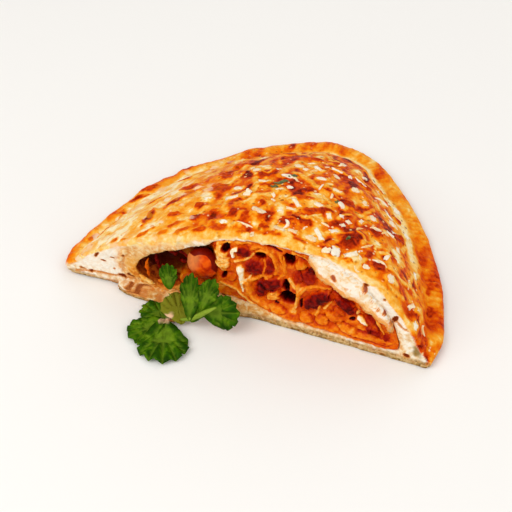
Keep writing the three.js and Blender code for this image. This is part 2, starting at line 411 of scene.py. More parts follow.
# How far each point is from the crimped edge, and how far along it. The cut's side isn't counted.
def rimPlaces(points):
    outline = planOutline()
    away = np.full(len(points), 1.0)
    along = np.zeros(len(points))
    travelled = 0.0
    for start, end in zip(outline, np.roll(outline, -1, axis=0)):
        side = end - start
        length = max(np.hypot(*side), 0.01 * mm)
        if max(start[1], end[1]) > cutY + 7 * mm or abs(side[0]) < abs(side[1]):
            share = clamp01(((points[:, :2] - start) @ side) / length ** 2)
            distance = np.hypot(*(points[:, :2] - start - share[:, None] * side).T)
            closer = distance < away
            away[closer] = distance[closer]
            along[closer] = travelled + share[closer] * length
        travelled += length
    return away, along


# How far each point is from a line that bends smoothly through the given places, and how far along
# it from 0 to 1.
def lineField(across, up, places):
    corners = np.array(places, float) * mm
    ends = [2 * corners[0] - corners[1]], [2 * corners[-1] - corners[-2]]
    padded = np.concatenate([ends[0], corners, ends[1]])
    line = []
    for i in range(len(corners) - 1):
        p0, p1, p2, p3 = padded[i:i + 4]
        for t in (0, 0.25, 0.5, 0.75):
            bend = 2 * p0 - 5 * p1 + 4 * p2 - p3 + t * (3 * (p1 - p2) + p3 - p0)
            line.append(p1 + 0.5 * t * (p2 - p0 + t * bend))
    line.append(corners[-1])
    distance = np.full(len(across), 1.0)
    share = np.zeros(len(across))
    for i, (start, end) in enumerate(zip(line, line[1:])):
        side = end - start
        t = clamp01(((across - start[0]) * side[0] + (up - start[1]) * side[1]) / max(side @ side, 1e-12))
        away = np.hypot(across - start[0] - t * side[0], up - start[1] - t * side[1])
        closer = away < distance
        distance[closer] = away[closer]
        share[closer] = (i + t[closer]) / (len(line) - 1)
    return distance, share


# 1 in the middle of an oval on the face, 0 on its edge and less outside it.
def ovalField(across, up, oval):
    x, z, width, height, tilt = oval[:5]
    c, s = math.cos(math.radians(tilt)), math.sin(math.radians(tilt))
    dx, dz = across - x * mm, up - z * mm
    return 1 - np.hypot((dx * c + dz * s) / (width * mm / 2), (dz * c - dx * s) / (height * mm / 2))


# Ragged spots on the face, each as strong as its last value says.
def faceSpots(across, up, ragged, spots, softness):
    strength = np.zeros(len(across))
    for spot in spots:
        field = ovalField(across, up, spot) - 0.5 * ragged
        strength = np.maximum(strength, spot[5] * smoothStep(field, -softness, 0.5))
    return strength


# Where a place of the plan meets the top of a surface, and which way the surface faces there.
def topAt(surface, x, behind):
    return surface.ray_cast(Vector((x * mm, cutY + behind * mm, 1)), downwards)[:2]


# Two directions along a surface: on the heading, and across it.
def alongSurface(normal, heading):
    turn = math.radians(heading)
    lengthways = Vector((math.cos(turn), math.sin(turn), 0))
    lengthways = (lengthways - normal * lengthways.dot(normal)).normalized()
    return lengthways, normal.cross(lengthways)


# For irregular cells over the points: how far from the nearest centre, and a random value for each.
def cellsAt(points, size, shift, warp=0.35):
    nearest = np.empty(len(points))
    luck = np.empty(len(points))
    bend = np.stack([noiseAt(points, 1.4 * size, shift + k * 11.0) for k in range(3)], 1) * warp
    for i, place in enumerate(points / size + bend + shift):
        distances, centres = noise.voronoi(Vector(place))
        nearest[i] = distances[0]
        luck[i] = 0.5 + 0.5 * noise.cell(centres[0] * 5.7)
    return nearest, luck


# 1 for each chosen point that has the surface above it.
def coveredPoints(points, normals, surface, chosen, away):
    covered = np.zeros(len(points))
    for i in np.nonzero(chosen)[0]:
        start = Vector(points[i]) + Vector(normals[i]) * away * mm
        if surface.ray_cast(start, upwards)[0] is not None:
            covered[i] = 1.0
    return covered


crustShape = {
    "voxel": 0.7 * mm,
    "mostTriangles": 194000,
    "lumps": [(24 * mm, 1.2 * mm), (9 * mm, 0.9 * mm), (3.4 * mm, 0.4 * mm)],  # size and height
    "edgeRound": 3.2 * mm,  # of the top edge of the cut
    "hang": 3.6 * mm,  # of the roof over the hollow
    "sink": 6.4 * mm,  # of the dough under the hollow
    "tornHeight": 0.9 * mm,
    "pleatPitch": 3.5 * mm,
    "pleatDepth": 0.35 * mm,
    "grooveAway": 14.5 * mm,  # how far in from the edge the dome starts
    "grooveWidth": 3.1 * mm,
    "grooveDepth": 0.5 * mm,
    "layerPitch": 2.3 * mm,  # of the thin layers low in the cut
    "layerHeight": 0.25 * mm,
    "holeDepth": 0.35 * mm,
    "crackDepth": 1.1 * mm,
    "scorchDepth": 0.5 * mm,
    "meltHeight": 0.5 * mm,
    "cellHeight": 0.35 * mm,
    # Size, shift and strength of the cells that toast unevenly.
    "toastCells": [(8 * mm, 3.0, 0.66), (4 * mm, 17.0, 0.44), (2.4 * mm, 29.0, 0.34)],
    # How toasted each zone is, from 0 for cream to 1 for dark brown.
    "paleLevel": 0.1,
    "brownedLevel": 0.56,
    "edgeLevel": 0.1,
    "rimLevel": 0.5,
    "grooveLevel": 0.05,
    "meltLevel": 0.1,
    # Between which x the pale side turns brown, and how far from the edge the crimped rim ends.
    "brownedZone": (-56, -14),
    "rimZone": (10, 13.5),
    "strewnMelts": 100,
    "seed": 4,
    # Height of the two kinds of spot, how soft their edge is, and how much darker than listed.
    "blisterKind": (0.7 * mm, 0.62, 0.2),
    "spotKind": (0.8 * mm, 0.42, -0.06),
    # Blisters of the pale left side: x, behind, length, width, heading and how dark.
    "paleBlisters": [
        [-80, 61, 13, 4.6, 30, 0.72], [-83, 46, 14, 5.4, -53, 0.7], [-84, 30, 12, 5, 8, 0.68],
        [-91, 25, 7, 5, 40, 0.72], [-70, 8, 5.4, 3.6, 30, 0.64], [-64, 6, 5, 4, 60, 0.84],
        [-58, 25, 16, 6, 82, 0.78], [-66, 47, 7, 4, 40, 0.68], [-61, 51, 9, 5, 40, 0.62],
        [-50, 38, 13, 7, 50, 0.76], [-31, 23, 6, 5, 70, 0.96], [-33, 12, 9, 3.6, 25, 0.66],
        [-27, 11, 6, 3, -10, 0.6], [-36, 8, 8, 3.4, 90, 0.58], [-54, 11, 13, 3.4, 45, 0.52],
        [-44, 9, 8, 5, 30, 0.5], [-40, 16, 10, 5.4, 25, 0.6], [-43, 25, 7, 6, 0, 0.58],
        [-59, 77, 10, 5, 35, 0.68], [-77, 70, 12, 5, 35, 0.6], [-47, 55, 12, 7, 20, 0.68],
        [-32, 32, 8, 5.4, 10, 0.74], [-44, 47, 13, 7, 60, 0.58], [-64, 93, 9, 5, 40, 0.7],
        [-29, 50, 15, 10, 10, 0.66], [-28, 66, 14, 9, 10, 0.64],
    ],
    # Dark, crisp spots of the browned side, given in the same way.
    "darkSpots": [
        [-8, 68, 12, 8, 20, 0.95], [-35, 111, 8, 3.4, 20, 0.7], [-27, 81, 9, 4, 20, 0.8],
        [-8, 106, 7, 4, 15, 0.9], [10, 98, 12, 4.4, 5, 0.9], [21, 98, 7, 4.4, 0, 0.85],
        [17, 59, 7, 5.4, 35, 1.0], [25, 64, 5, 3.6, 10, 0.9], [-9, 44, 7, 3.4, -15, 0.95],
        [0, 37, 6, 3.2, 115, 0.95], [-6, 55, 10, 3.6, 25, 0.85], [-31, 22, 4.4, 4, 60, 0.9],
        [-33, 33, 5, 4, 20, 0.85], [-22, 27, 4.6, 4.2, 0, 0.85], [-12, 26, 7, 5.4, 60, 0.95],
        [-4, 26, 8, 5, 20, 0.85], [-15, 14, 9, 6, -30, 0.8], [14, 26, 7, 5.4, 50, 1.0],
        [21, 31, 11, 4.4, 20, 1.0], [24, 40, 8, 5, 40, 0.9], [31, 44, 7, 4, 0, 0.95],
        [38, 36, 7, 4.4, 5, 1.0], [12, 16, 7, 5, 5, 0.8], [25, 12, 7, 6.4, 30, 0.95],
        [17, 49, 10, 4, 20, 0.8], [-27, 50, 7, 4, 10, 0.85], [39, 59, 9, 7, 10, 1.0],
        [40, 87, 7, 4.4, 20, 0.9], [47, 100, 8, 3.6, -25, 0.85], [47, 26, 8, 6, 40, 1.0],
        [42, 13, 9, 6, 60, 0.9], [63, 18, 7, 6.6, 20, 1.0], [84, 14, 7, 6, 0, 0.95],
        [90, 30, 7, 5, 70, 0.95], [66, 61, 9, 6, 60, 0.9], [60, 80, 7, 4, -40, 0.9],
        [-24, 12, 5, 4, 0, 0.85], [-3, 12, 6, 4.4, 10, 0.9], [6, 20, 5, 5, 0, 0.9],
        [34, 9, 6, 5, 20, 0.9], [50, 12, 6, 5, 0, 0.9], [2, 27, 6, 3.4, 10, 0.85],
        [86, 44, 8, 4, 80, 0.85], [78, 66, 8, 4, 110, 0.85], [56, 44, 9, 6, 60, 0.95],
        [66, 34, 7, 5, 20, 0.9],
    ],
    # Longer melted lines of cheese: places in the plan, width and strength.
    "melts": [
        [[(5, 72), (10, 71), (19, 64)], 4, 0.8], [[(19, 64), (26, 60)], 4, 0.6],
        [[(-13, 62), (-9, 52), (-10, 43)], 4, 0.7], [[(-21, 40), (-15, 42), (-13, 47)], 4.4, 0.8],
        [[(4, 53), (0, 46), (-5, 44), (-7, 38)], 4, 0.8], [[(-26, 71), (-24, 62)], 3.4, 0.6],
        [[(-8, 28), (-9, 22)], 3, 0.6], [[(14, 18), (20, 16), (18, 12)], 4, 0.9],
        [[(-2, 12), (4, 12), (9, 12)], 4, 0.8], [[(6, 81), (0, 78), (-1, 66)], 4, 0.7],
        [[(-15, 77), (-18, 73), (-14, 66)], 3, 0.9], [[(4, 32), (2, 40), (-1, 44)], 3.4, 0.6],
        [[(-20, 28), (-17, 30)], 3, 0.6], [[(72, 23), (75, 24), (79, 26)], 2.6, 0.9],
        [[(79, 26), (78, 35), (80, 46)], 2.6, 0.9], [[(70, 49), (70, 59), (74, 57)], 2.6, 0.8],
        [[(76, 63), (78, 49)], 3, 0.8], [[(46, 52), (50, 65)], 2.6, 0.7],
        [[(55, 48), (62, 52)], 2.6, 0.8], [[(64, 35), (68, 24)], 3.4, 0.8],
        [[(62, 24), (68, 22), (72, 22)], 2.6, 0.8], [[(54, 32), (58, 34)], 3, 0.6],
        [[(55, 14), (57, 19)], 3, 0.8], [[(72, 12), (75, 12), (78, 13)], 3, 0.7],
        [[(44, 5), (54, 6), (62, 8)], 4.4, 0.8], [[(88, 32), (88, 21), (92, 25)], 2.4, 0.6],
        [[(12, 7), (20, 5), (30, 4.4), (40, 4.4)], 2.4, 0.7], [[(-34, 5), (-20, 4), (-8, 4)], 5, 0.8],
    ],
    # Scorched spots on the cut dough: x, height, width, tallness, tilt and how dark.
    "doughSpots": [
        [-65.5, 7.5, 5.6, 3, -10, 1], [-60.5, 9.4, 6, 2.6, -20, 0.8], [-56, 7.2, 5, 2, -20, 0.55],
        [-50, 5.6, 6, 1.6, -8, 0.5], [-52, 3, 7, 2.6, 0, 0.42], [-43, 3.4, 5, 2.2, 0, 0.45],
        [-61, 4.6, 6, 1.6, 0, 0.6], [-83.4, 5.3, 3, 2.2, 0, 0.8], [-64, 22.6, 2.4, 2.4, 0, 0.9],
        [-79.5, 18, 2.2, 5, -35, 0.85], [-76, 15, 4, 1.4, 0, 0.9], [-70.5, 18.6, 3, 1.4, 10, 0.8],
        [-88, 6, 5, 1.6, -15, 0.6], [77.2, 25.2, 3.2, 5, -20, 1], [85.3, 5.3, 5, 2.8, 0, 0.8],
        [45.3, 41, 4, 3.5, -20, 0.9], [60.8, 40.6, 3.4, 2.2, 0, 0.8], [71.2, 35.6, 3, 3, -30, 0.75],
        [56.4, 40.4, 3, 4, 0, 0.35], [96, 3.4, 2, 2, 0, 0.6], [-70, 11, 1.6, 1.6, 0, 0.5],
        [14, 1.4, 3, 1.4, 0, 0.6], [31, 1.2, 4, 1.6, 0, 0.7], [46, 1.6, 3.4, 1.6, 0, 0.6],
        [60, 1.2, 4.4, 1.4, 0, 0.6], [73, 1.6, 5, 1.8, 0, 0.7], [-5.4, 14, 4, 2, 0, 0.5],
        [-9, 12.6, 7, 3, -5, 0.85], [-1.6, 12, 5, 2, -15, 0.8],
    ],
    # Cracks of the cut dough: places on the face, width and strength.
    "doughCracks": [
        [[(-63.8, 21), (-64.8, 16), (-65, 11)], 1.6, 0.28],
        [[(-63, 2.8), (-57, 4.0), (-51, 4.7), (-46, 5.2)], 1.1, 0.6],
        [[(-66, 1.6), (-56, 2.2), (-46, 2.0), (-38, 2.4)], 0.8, 0.45],
        [[(-92, 3.6), (-82, 5.6), (-72, 6.4), (-63, 7.2), (-53, 7.4)], 1.4, 0.4],
        [[(77, 25), (79, 23), (81.5, 21.2), (84.5, 21)], 1.3, 0.42],
        [[(-44, 6.0), (-33, 6.2), (-22, 5.0), (-10, 4.6)], 1.1, 0.5],
    ],
    # The hollow oval also bounds the oil stain that runs into painted shade.
    "hollow": [-42, 19, 46, 30, 12],  # ovals and a line on the face that are stained by the filling
    "hollowRim": [-45, 20, 42, 34, 12],
    "fillingEnd": [(84, 5.5), (81.5, 10), (79, 16), (75.5, 22)],
    "oliveStain": [90.5, 9.7, 6, 7, 20],
}
# Grated cheese that stayed white: x, behind, length, width, heading. The crust melts round each bit.
cheeseBits = [
    [-18, 74, 5, 2.2, 115], [-15, 71, 4, 2, 60], [-12, 76, 4.5, 1.6, 10], [5, 82, 4.2, 2, 20],
    [15, 84, 4.4, 2.4, -20], [24, 89, 6, 2, 5], [-18, 51, 4, 2.4, 30], [-31, 39, 4, 2, 20],
    [-11, 43, 5, 2, 70], [-18, 40, 6, 2.6, 20], [-7, 58, 4.6, 3, 20], [4, 67, 6, 2.6, 10],
    [3, 52, 4, 2, 0], [0, 30, 5, 4, 60], [15, 43, 6, 2, -45], [14, 37, 4.4, 2, 10],
    [26, 47, 4.4, 2.2, 0], [-15, 19, 4, 2.6, 0], [14, 20, 5.5, 2.4, -20], [20, 20, 4, 2.2, 10],
    [32, 24, 8, 2.4, -52], [30, 20, 5, 2.4, 0], [45, 66, 4.4, 3.4, 100], [43, 16, 6, 2.4, 95],
    [50, 17, 6, 2.6, 35], [30, 66, 4.4, 2.4, 0], [38, 74, 4, 2.2, 40], [22, 57, 4, 2, 30],
    [52, 56, 3.6, 2, 20], [38, 30, 4, 2.2, 45], [57, 74, 4.4, 2, -10], [60, 69, 5, 2.4, 50],
    [9, 90, 4, 1.8, 10], [58, 89, 4, 2.4, 20], [62, 52, 4.4, 2.2, 10], [68, 69, 4.6, 3.4, 60],
    [87, 7, 3.6, 2.4, 80], [86, 17, 5, 2.4, 60], [71, 16, 4, 2.2, 20], [33, 40, 4, 2, 120],
    [48, 47, 4.4, 1.8, 70], [20, 73, 4.6, 2.2, 25], [-4, 74, 4, 1.8, 40], [36, 54, 4, 2.2, -30],
]


# What the filling and the table hide is thinned, and the rest keeps its fine mesh.
def makeCrust():
    crust = remeshNode("crust", "baked_crust", crustShape["voxel"], 0.5, 4)
    points = readPoints(crust)
    normals = readNormals(crust)
    deep = behindFace(points) > 4 * mm
    facingDown = normals[:, 2] < -0.2
    hidden = coveredPoints(points, normals, surfaceOf(crust), deep & ~facingDown, 0.3)
    hidden[deep & facingDown] = 1.0
    thinHidden(crust, hidden, crustShape["mostTriangles"])
    return crust


# Rounds the top edge of the cut over. Gives how far each point is below that edge, and how wide the
# rounding is there.
def roundCutEdge(points, surface, fromFace, behind):
    x, z = points[:, 0], points[:, 2]
    stations = np.arange(-96, 99, 3) * mm
    heights = []
    for station in stations:
        start = Vector((station, float(faceY(station, 30 * mm)) + 4.5 * mm, 1))
        top = surface.ray_cast(start, downwards)[0]
        heights.append(top.z if top else 0.0)
    below = np.interp(x, stations, heights) - z
    edge = crustShape["edgeRound"] * (0.45 + 0.55 * rise(x, -75, -45))
    corner = (fromFace < edge) & (below < edge) & (behind < 25 * mm) & (z > 6 * mm)
    back, down = clamp01((edge - fromFace) / edge), clamp01((edge - below) / edge)
    reach = np.maximum(np.hypot(back, down), 0.001)
    share = np.where(corner, 1 - np.maximum(back, down) / reach, 0)
    points[:, 1] += share * back * edge
    points[:, 2] -= share * down * edge
    return below, edge


# Over the hollow the roof hangs down, and under it the dough has sunk.
def shapeHollow(points, fromFace, below):
    x, z = points[:, 0], points[:, 2]
    atHollow = rise(x, -64, -54) * fall(x, -24, -12) * fall(fromFace, 8, 18)
    points[:, 2] -= crustShape["hang"] * atHollow * rise(z, 17, 23) * rise(below, 0.5, 4)
    sunk = atHollow * fall(x, -44, -26) * clamp01((z - 3 * mm) / (10 * mm))
    points[:, 2] -= crustShape["sink"] * sunk * fall(z, 15, 26)


# How strongly each point belongs to an oval spot on the surface, 1 in its middle and 0 outside it.
def spotField(points, surface, spot, ragged):
    x, behind, length, width, heading = spot[:5]
    centre, normal = topAt(surface, x, behind)
    if centre is None:
        return None, None
    near = np.nonzero(np.linalg.norm(points - np.array(centre), axis=1) < length * mm)[0]
    offset = points[near] - np.array(centre)
    axes = zip((*alongSurface(normal, heading), normal), (length / 2, width / 2, 6))
    distance = np.sqrt(sum((offset @ np.array(axis) / (reach * mm)) ** 2 for axis, reach in axes))
    return near, clamp01(1.3 - distance - ragged[near]) / 1.3


# Short lines of cheese that melted into the browned side: places in the plan, width and strength.
def strewMelts():
    spread = random.Random(crustShape["seed"])
    lines = []
    while len(lines) < crustShape["strewnMelts"]:
        x, behind = spread.uniform(-42, 90), spread.uniform(5, 118)
        if spread.random() > 0.15 + 0.85 * min(1, max(0, (x + 30) / 50)):
            continue
        turn = spread.uniform(0, 2 * math.pi)
        bend = spread.uniform(-0.9, 0.9)
        step = spread.uniform(1.4, 3.4)
        places = [(x, behind)]
        for _ in range(3):
            x, behind, turn = x + step * math.cos(turn), behind + step * math.sin(turn), turn + bend
            places.append((x, behind))
        lines.append((places, spread.uniform(1.3, 2.8), spread.uniform(0.35, 1.0)))
    return lines


# Where cheese has melted over the chosen points, from 0 to 1. There is some under every white bit.
def meltedCheese(x, behind, ragged, chosen, flat):
    melted = np.zeros(len(x))
    halos = []
    for middleX, middleBehind, length, width, heading in cheeseBits:
        turn = math.radians(heading)
        c, s = 0.5 * length * math.cos(turn), 0.5 * length * math.sin(turn)
        ends = [(middleX - c, middleBehind - s), (middleX + c, middleBehind + s)]
        halos.append([ends, width + 2.0, 0.8])
    for places, width, strength in crustShape["melts"] + halos + strewMelts():
        first = np.array(places[0]) * mm
        near = chosen[np.hypot(x[chosen] - first[0], behind[chosen] - first[1]) < 34 * mm]
        distance, _ = lineField(x[near], behind[near], places)
        field = strength * fall(distance + 0.5 * mm * ragged[near], 0.2 * width, 0.62 * width)
        # Lines of four places, as all strewn ones are, fade where the crust is steep.
        if len(places) == 4:
            field *= flat[near]
        melted[near] = np.maximum(melted[near], field)
    return melted


# Small soft pleats down the crimped edge, from -1 to 1.
def pleatWave(points, away, along, behind):
    wander = noiseAt(points, 10 * mm, 9.4) * 3.5
    strength = clamp01(0.55 + 0.9 * noiseAt(points, 14 * mm, 2.2))
    wave = np.sin(2 * math.pi * along / crustShape["pleatPitch"] + wander) * strength
    area = rise(away, 0.6, 3) * fall(away, 8, 13) * rise(behind, 5, 25)
    return wave * area * (0.2 + 0.8 * rise(points[:, 0], -30, 20))


# The scorched spots and the cracks of the chosen points on the cut.
def scorchCut(x, z, ragged, chosen):
    scorch = np.zeros(len(x))
    crack = np.zeros(len(x))
    scorch[chosen] = faceSpots(x[chosen], z[chosen], ragged[chosen], crustShape["doughSpots"], 0.1)
    for places, width, strength in crustShape["doughCracks"]:
        distance, _ = lineField(x[chosen], z[chosen], places)
        field = strength * fall(distance + 0.25 * mm * ragged[chosen], 0.2 * width, 0.75 * width)
        crack[chosen] = np.maximum(crack[chosen], field)
    return scorch, crack


def shapeCrust(crust):
    shape = crustShape
    points = readPoints(crust)
    normals = readNormals(crust)
    x, behind, z = points[:, 0], points[:, 1] - cutY, points[:, 2]
    facingUp = normals[:, 2]
    fromFace = behindFace(points)
    away, along = rimPlaces(points)
    ragged = noiseAt(points, 2.2 * mm)
    skinNoise = noiseAt(points, 6 * mm, 41.0, 2)
    surface = surfaceOf(crust)
    below, edge = roundCutEdge(points, surface, fromFace, behind)
    shapeHollow(points, fromFace, below)

    # The pale cut face, the floury foot, the inside of the pocket, and the outside.
    facing = smoothStep(-normals[:, 1], 0.35, 0.75) * rise(-fromFace, -2.4, -1.0)
    cut = np.maximum(facing, rise(-fromFace, 0.2, 0.9))
    cut = np.maximum(cut, (fromFace < 8 * mm) * (away > 5 * mm) * rise(below, 5, 7))
    skin = edge * (0.62 + 0.3 * skinNoise)
    cut *= smoothStep(below, skin, skin + 0.8 * mm)
    nearFloor = np.maximum(fall(fromFace, 2, 6), smoothStep(-facingUp, 0.6, 0.9))
    low = fall(z + 0.5 * mm * ragged, 0.6, 2.6) * np.maximum(0.4, nearFloor)
    underRoof = (fromFace > 8 * mm) | ((fromFace > 0.4 * mm) & (below > 3 * mm))
    maybeInside = (facingUp > -0.95) & underRoof & (z > 1 * mm)
    inside = coveredPoints(points, normals, surface, maybeInside, 0.4) * (1 - cut)
    outer = (1 - cut) * (1 - inside) * smoothStep(facingUp, -0.5, 0.1)
    facingOnly = cut * (1 - inside)

    # Broad zones: pale on the left, browned on the right.
    reachBack = 12 * mm * rise(behind, 45, 80)
    browned = rise(x + reachBack + 8 * mm * noiseAt(points, 30 * mm, 3.1), *shape["brownedZone"])
    rightward = rise(x, 40, 90)
    # The pattern is drawn out where the crust slopes away at the back and on the right.
    stretched = points * np.array([1, 0.74, 0.6])
    stretched[:, 0] -= 0.34 * softRise(x - 45 * mm, 25 * mm)
    stretched[:, 1] -= 0.36 * softRise(behind - 52 * mm, 25 * mm)
    medium = noiseAt(stretched, 6 * mm, 41.0, 2)
    broad = noiseAt(stretched, 16 * mm, 9.0)
    cells = [cellsAt(stretched, size, shift) for size, shift, strength in shape["toastCells"]]
    patchy = 0.46 * medium + 0.16 * broad
    for (nearest, luck), (_, _, strength) in zip(cells, shape["toastCells"]):
        patchy += strength * (luck - 0.5) * (1 - smoothStep(nearest, 0.3, 0.8))
    nearest, luck = cells[0]
    pale = shape["paleLevel"] + 0.26 * medium + 0.16 * broad + 0.14 * (luck - 0.5)
    heat = pale + (shape["brownedLevel"] + patchy + 0.06 * rightward - pale) * browned

    # The edge over the cut is pale, the crimped edge orange, and the groove inside it cream.
    edgeWidth = 7 - 5.4 * rise(x, -12, 6)
    roofEdge = fall(fromFace - edge + 2 * mm * medium, -1, edgeWidth)
    roofEdge *= rise(z, 14, 24) * clamp01(0.85 + 0.8 * medium)
    heat += (shape["edgeLevel"] - heat) * 0.85 * roofEdge
    edgeBand = fall(away + 2 * mm * medium, 2, 10)
    heat += 0.36 * edgeBand * (1 - browned)
    onRim = fall(away, *shape["rimZone"]) * rise(behind, 4, 16) * rise(x, -15, 5)
    heat += onRim * (shape["rimLevel"] + 0.4 * medium + 0.12 * rightward - heat) * 0.85
    fromGroove = away - shape["grooveAway"] - 1.2 * mm * medium
    groove = np.exp(-(fromGroove / shape["grooveWidth"]) ** 2) * rise(x, -18, 4) * rise(behind, 22, 45)
    groove *= 1 - 0.6 * rise(x, 66, 84)
    heat += (shape["grooveLevel"] - heat) * clamp01(groove * (1.4 + 0.4 * broad))

    # Blisters and dark spots are both colour and relief, and stop short of the edge over the cut.
    relief = np.zeros(len(points))
    offEdge = 1 - fall(fromFace + 1.2 * mm * ragged, 1.5, 3.5) * rise(z, 14, 24)
    uneven = 0.45 * ragged + 0.55 * noiseAt(points, 4.4 * mm, 77.0)
    for spots, kind in (("paleBlisters", "blisterKind"), ("darkSpots", "spotKind")):
        height, softness, darker = shape[kind]
        for spot in shape[spots]:
            near, field = spotField(points, surface, spot, uneven)
            if near is not None:
                strength = smoothStep(field, 0.04, softness) * offEdge[near]
                level = spot[5] + darker + 0.1 * ragged[near]
                heat[near] += (level - heat[near]) * strength * 0.92
                dome = height * np.sin(math.pi * clamp01(field * 1.15))
                relief[near] = np.maximum(relief[near], dome)
    # Lines of melted cheese lie over them.
    flat = smoothStep(facingUp, 0.6, 0.82)
    melted = meltedCheese(x, behind, ragged, np.nonzero(outer > 0.3)[0], flat)
    melted *= outer * (1 - 0.8 * onRim)
    heat += (shape["meltLevel"] - heat) * melted * 0.9
    relief += shape["meltHeight"] * melted
    relief += shape["cellHeight"] * (0.5 - smoothStep(nearest, 0.2, 0.7)) * browned
    relief *= outer * (1 - 0.6 * onRim)
    pleats = pleatWave(points, away, along, behind) * outer
    relief += shape["pleatDepth"] * pleats
    # Painted light and shade on the pleats: ridges a little paler, dips a little darker.
    heat -= 0.07 * pleats
    relief -= shape["grooveDepth"] * groove * outer

    # The cut dough has small holes, scorched spots, a torn edge and, low down, thin layers.
    holes = smoothStep(noiseAt(points, 2.4 * mm, 5.0, 2), 0.42, 0.7)
    layerLevel = z + 0.7 * mm * noiseAt(points * np.array([0.3, 1, 1]), 5 * mm, 1.7)
    onRight = rise(x, -30, 5)
    layers = np.sin(2 * math.pi * layerLevel / shape["layerPitch"]) * fall(z, 7, 11)
    layers = layers * (1 - 0.8 * onRight) + 1.6 * medium * onRight
    relief += cut * (shape["layerHeight"] * layers - shape["holeDepth"] * holes)
    onCut = np.nonzero((fromFace < 6 * mm) & (behind < 14 * mm))[0]
    scorch, crack = scorchCut(x, z, ragged, onCut)
    relief -= facingOnly * (shape["crackDepth"] * crack + shape["scorchDepth"] * scorch)
    relief += shape["tornHeight"] * medium * cut * rise(z, 14, 22)
    # Broad lumps cover everything that doesn't stand on the table.
    for index, (size, height) in enumerate(shape["lumps"]):
        lumps = height * noiseAt(points, size, 20.0 + 5 * index)
        relief += lumps * rise(z, 1.5, 6) * np.maximum(outer, 0.25)
    relief *= rise(z, 0.15, 1.2)
    moved = points + normals * relief[:, None]
    moved[:, 2] = np.maximum(moved[:, 2], 0)
    writePoints(crust, moved)

    # The filling's oil stains the hollow and the dough next to it, and painted shade darkens the hollow the
    # deeper it goes.
    hollow = ovalField(x, z, shape["hollow"]) + 0.12 * ragged
    stainAndShade = smoothStep(hollow, 0.0, 0.2) * rise(fromFace, 0.3, 3) * (fromFace < 30 * mm)
    stainAndShade *= 0.2 + 0.3 * rise(fromFace, 1, 7)
    underside = smoothStep(-facingUp, 0.2, 0.5) * (z > 6 * mm)
    # Painted shade: inside the pocket the dough darkens with depth behind the cut, less so on the left
    # wall.
    depth = (0.06 + 0.94 * rise(fromFace, 1.5, 9)) * (0.6 + 0.4 * rise(z, 13, 19))
    depth *= inside * rise(fromFace + 0.8 * mm * ragged - 2 * mm * rise(z, 28, 34), 1.0, 2.2)
    depth *= 0.14 + 0.86 * rise(x + 1.5 * mm * medium, -57, -46)
    rim = ovalField(x, z, shape["hollowRim"]) + 0.12 * ragged
    floorGlow = rise(x, -22, -16) * fall(x, 30, 70) * rise(z, 3, 6) * fall(z, 12, 16)
    fromEnd, _ = lineField(x, z, shape["fillingEnd"])
    endGlow = 0.8 * fall(fromEnd + 0.6 * mm * ragged, 0.6, 3.4)
    rimGlow = smoothStep(rim, -0.28, 0.0) * fall(x, -20, -10)
    glow = np.max([rimGlow, floorGlow, endGlow], axis=0)
    olive = ovalField(x, z, shape["oliveStain"]) - 0.5 * ragged
    tanTop = (2.6 + 4.4 * rise(x, -70, -40) - 3.4 * rise(x, 2, 22)) * mm
    whiteLeft = fall(x + 2 * mm * ragged, -68, -62) * rise(z, 6, 9)
    painted = {
        "toasting": heat,
        "pale": (1 - browned) * (1 - edgeBand),
        "browned": browned * (1 - onRim) * (1 - roofEdge) * (1 - 0.7 * melted),
        "cut": np.max([cut, inside, stainAndShade > 0.05, underside], axis=0),
        # The inside value holds the oil stain and the painted shade of the hollow.
        "inside": np.maximum(stainAndShade, depth),
        "glow": 0.85 * glow * cut * fall(fromFace, 9, 13),
        "low": low,
        "scorch": np.maximum(scorch, crack) * facingOnly,
        "tanned": 1 - smoothStep(z + 0.8 * mm * ragged, tanTop, tanTop + 1.6 * mm),
        "leftward": 0.3 + 0.7 * fall(x, -30, 5),
        "olive": smoothStep(olive, -0.15, 0.6) * facingOnly * (fromFace < 6 * mm),
        "whiteness": np.maximum(rise(x, 30, 42) * rise(z, 18, 24), whiteLeft),
    }
    for name, values in painted.items():
        paint(crust, name, values)


doughLook = {
    # The baked top, from cream through gold and orange to dark red-brown.
    "top": [
        (0.0, "#fdebbe"), (0.12, "#fcd27c"), (0.25, "#fab23e"), (0.38, "#f79818"), (0.5, "#f28004"),
        (0.62, "#e86400"), (0.74, "#d84600"), (0.87, "#b22a00"), (1.0, "#6c0e00"),
    ],
    "crumb": [(0.0, "#e4b680"), (0.35, "#f0d2a6"), (0.65, "#f8e8cc"), (1.0, "#fcf4e4")],
    "layers": [(0.0, "#8c5424"), (0.3, "#b88044"), (0.6, "#d0a464"), (1.0, "#e6c892")],
    "tan": [(0.1, "#7c5820"), (0.35, "#aa803e"), (0.6, "#c8a060"), (1.0, "#e0c088")],
    "glow": [(0.1, "#e08834"), (0.5, "#f0b462"), (0.9, "#f8d8a0")],
    # The oil stain of the hollow running into painted shade, near black deep inside.
    "stainAndShade": [
        (0.0, "#f4c47c"), (0.16, "#f0a23c"), (0.36, "#cc5c14"), (0.58, "#7a2006"), (0.85, "#340702"),
    ],
    "foot": [(0.1, "#6c4c18"), (0.4, "#9c7838"), (0.75, "#c8a870"), (1.0, "#e0c088")],
    # Cell size, radius and share of the cells, the area they are kept to, strength and colour.
    "flecks": [
        (3.4 * mm, 0.18, 0.12, None, 0.5, "#b8400a"), (2.6 * mm, 0.26, 0.3, "browned", 0.75, "#a83206"),
        (3.6 * mm, 0.3, 0.24, "browned", 0.6, "#7c1a02"), (2.8 * mm, 0.24, 0.26, "browned", 0.8, "#fbdc9c"),
        (4.4 * mm, 0.26, 0.2, "pale", 0.6, "#e88018"), (7.0 * mm, 0.4, 0.22, "pale", 0.65, "#fdeecb"),
    ],
    "streakSize": 8 * mm,
    "streakHeading": math.radians(42),
}


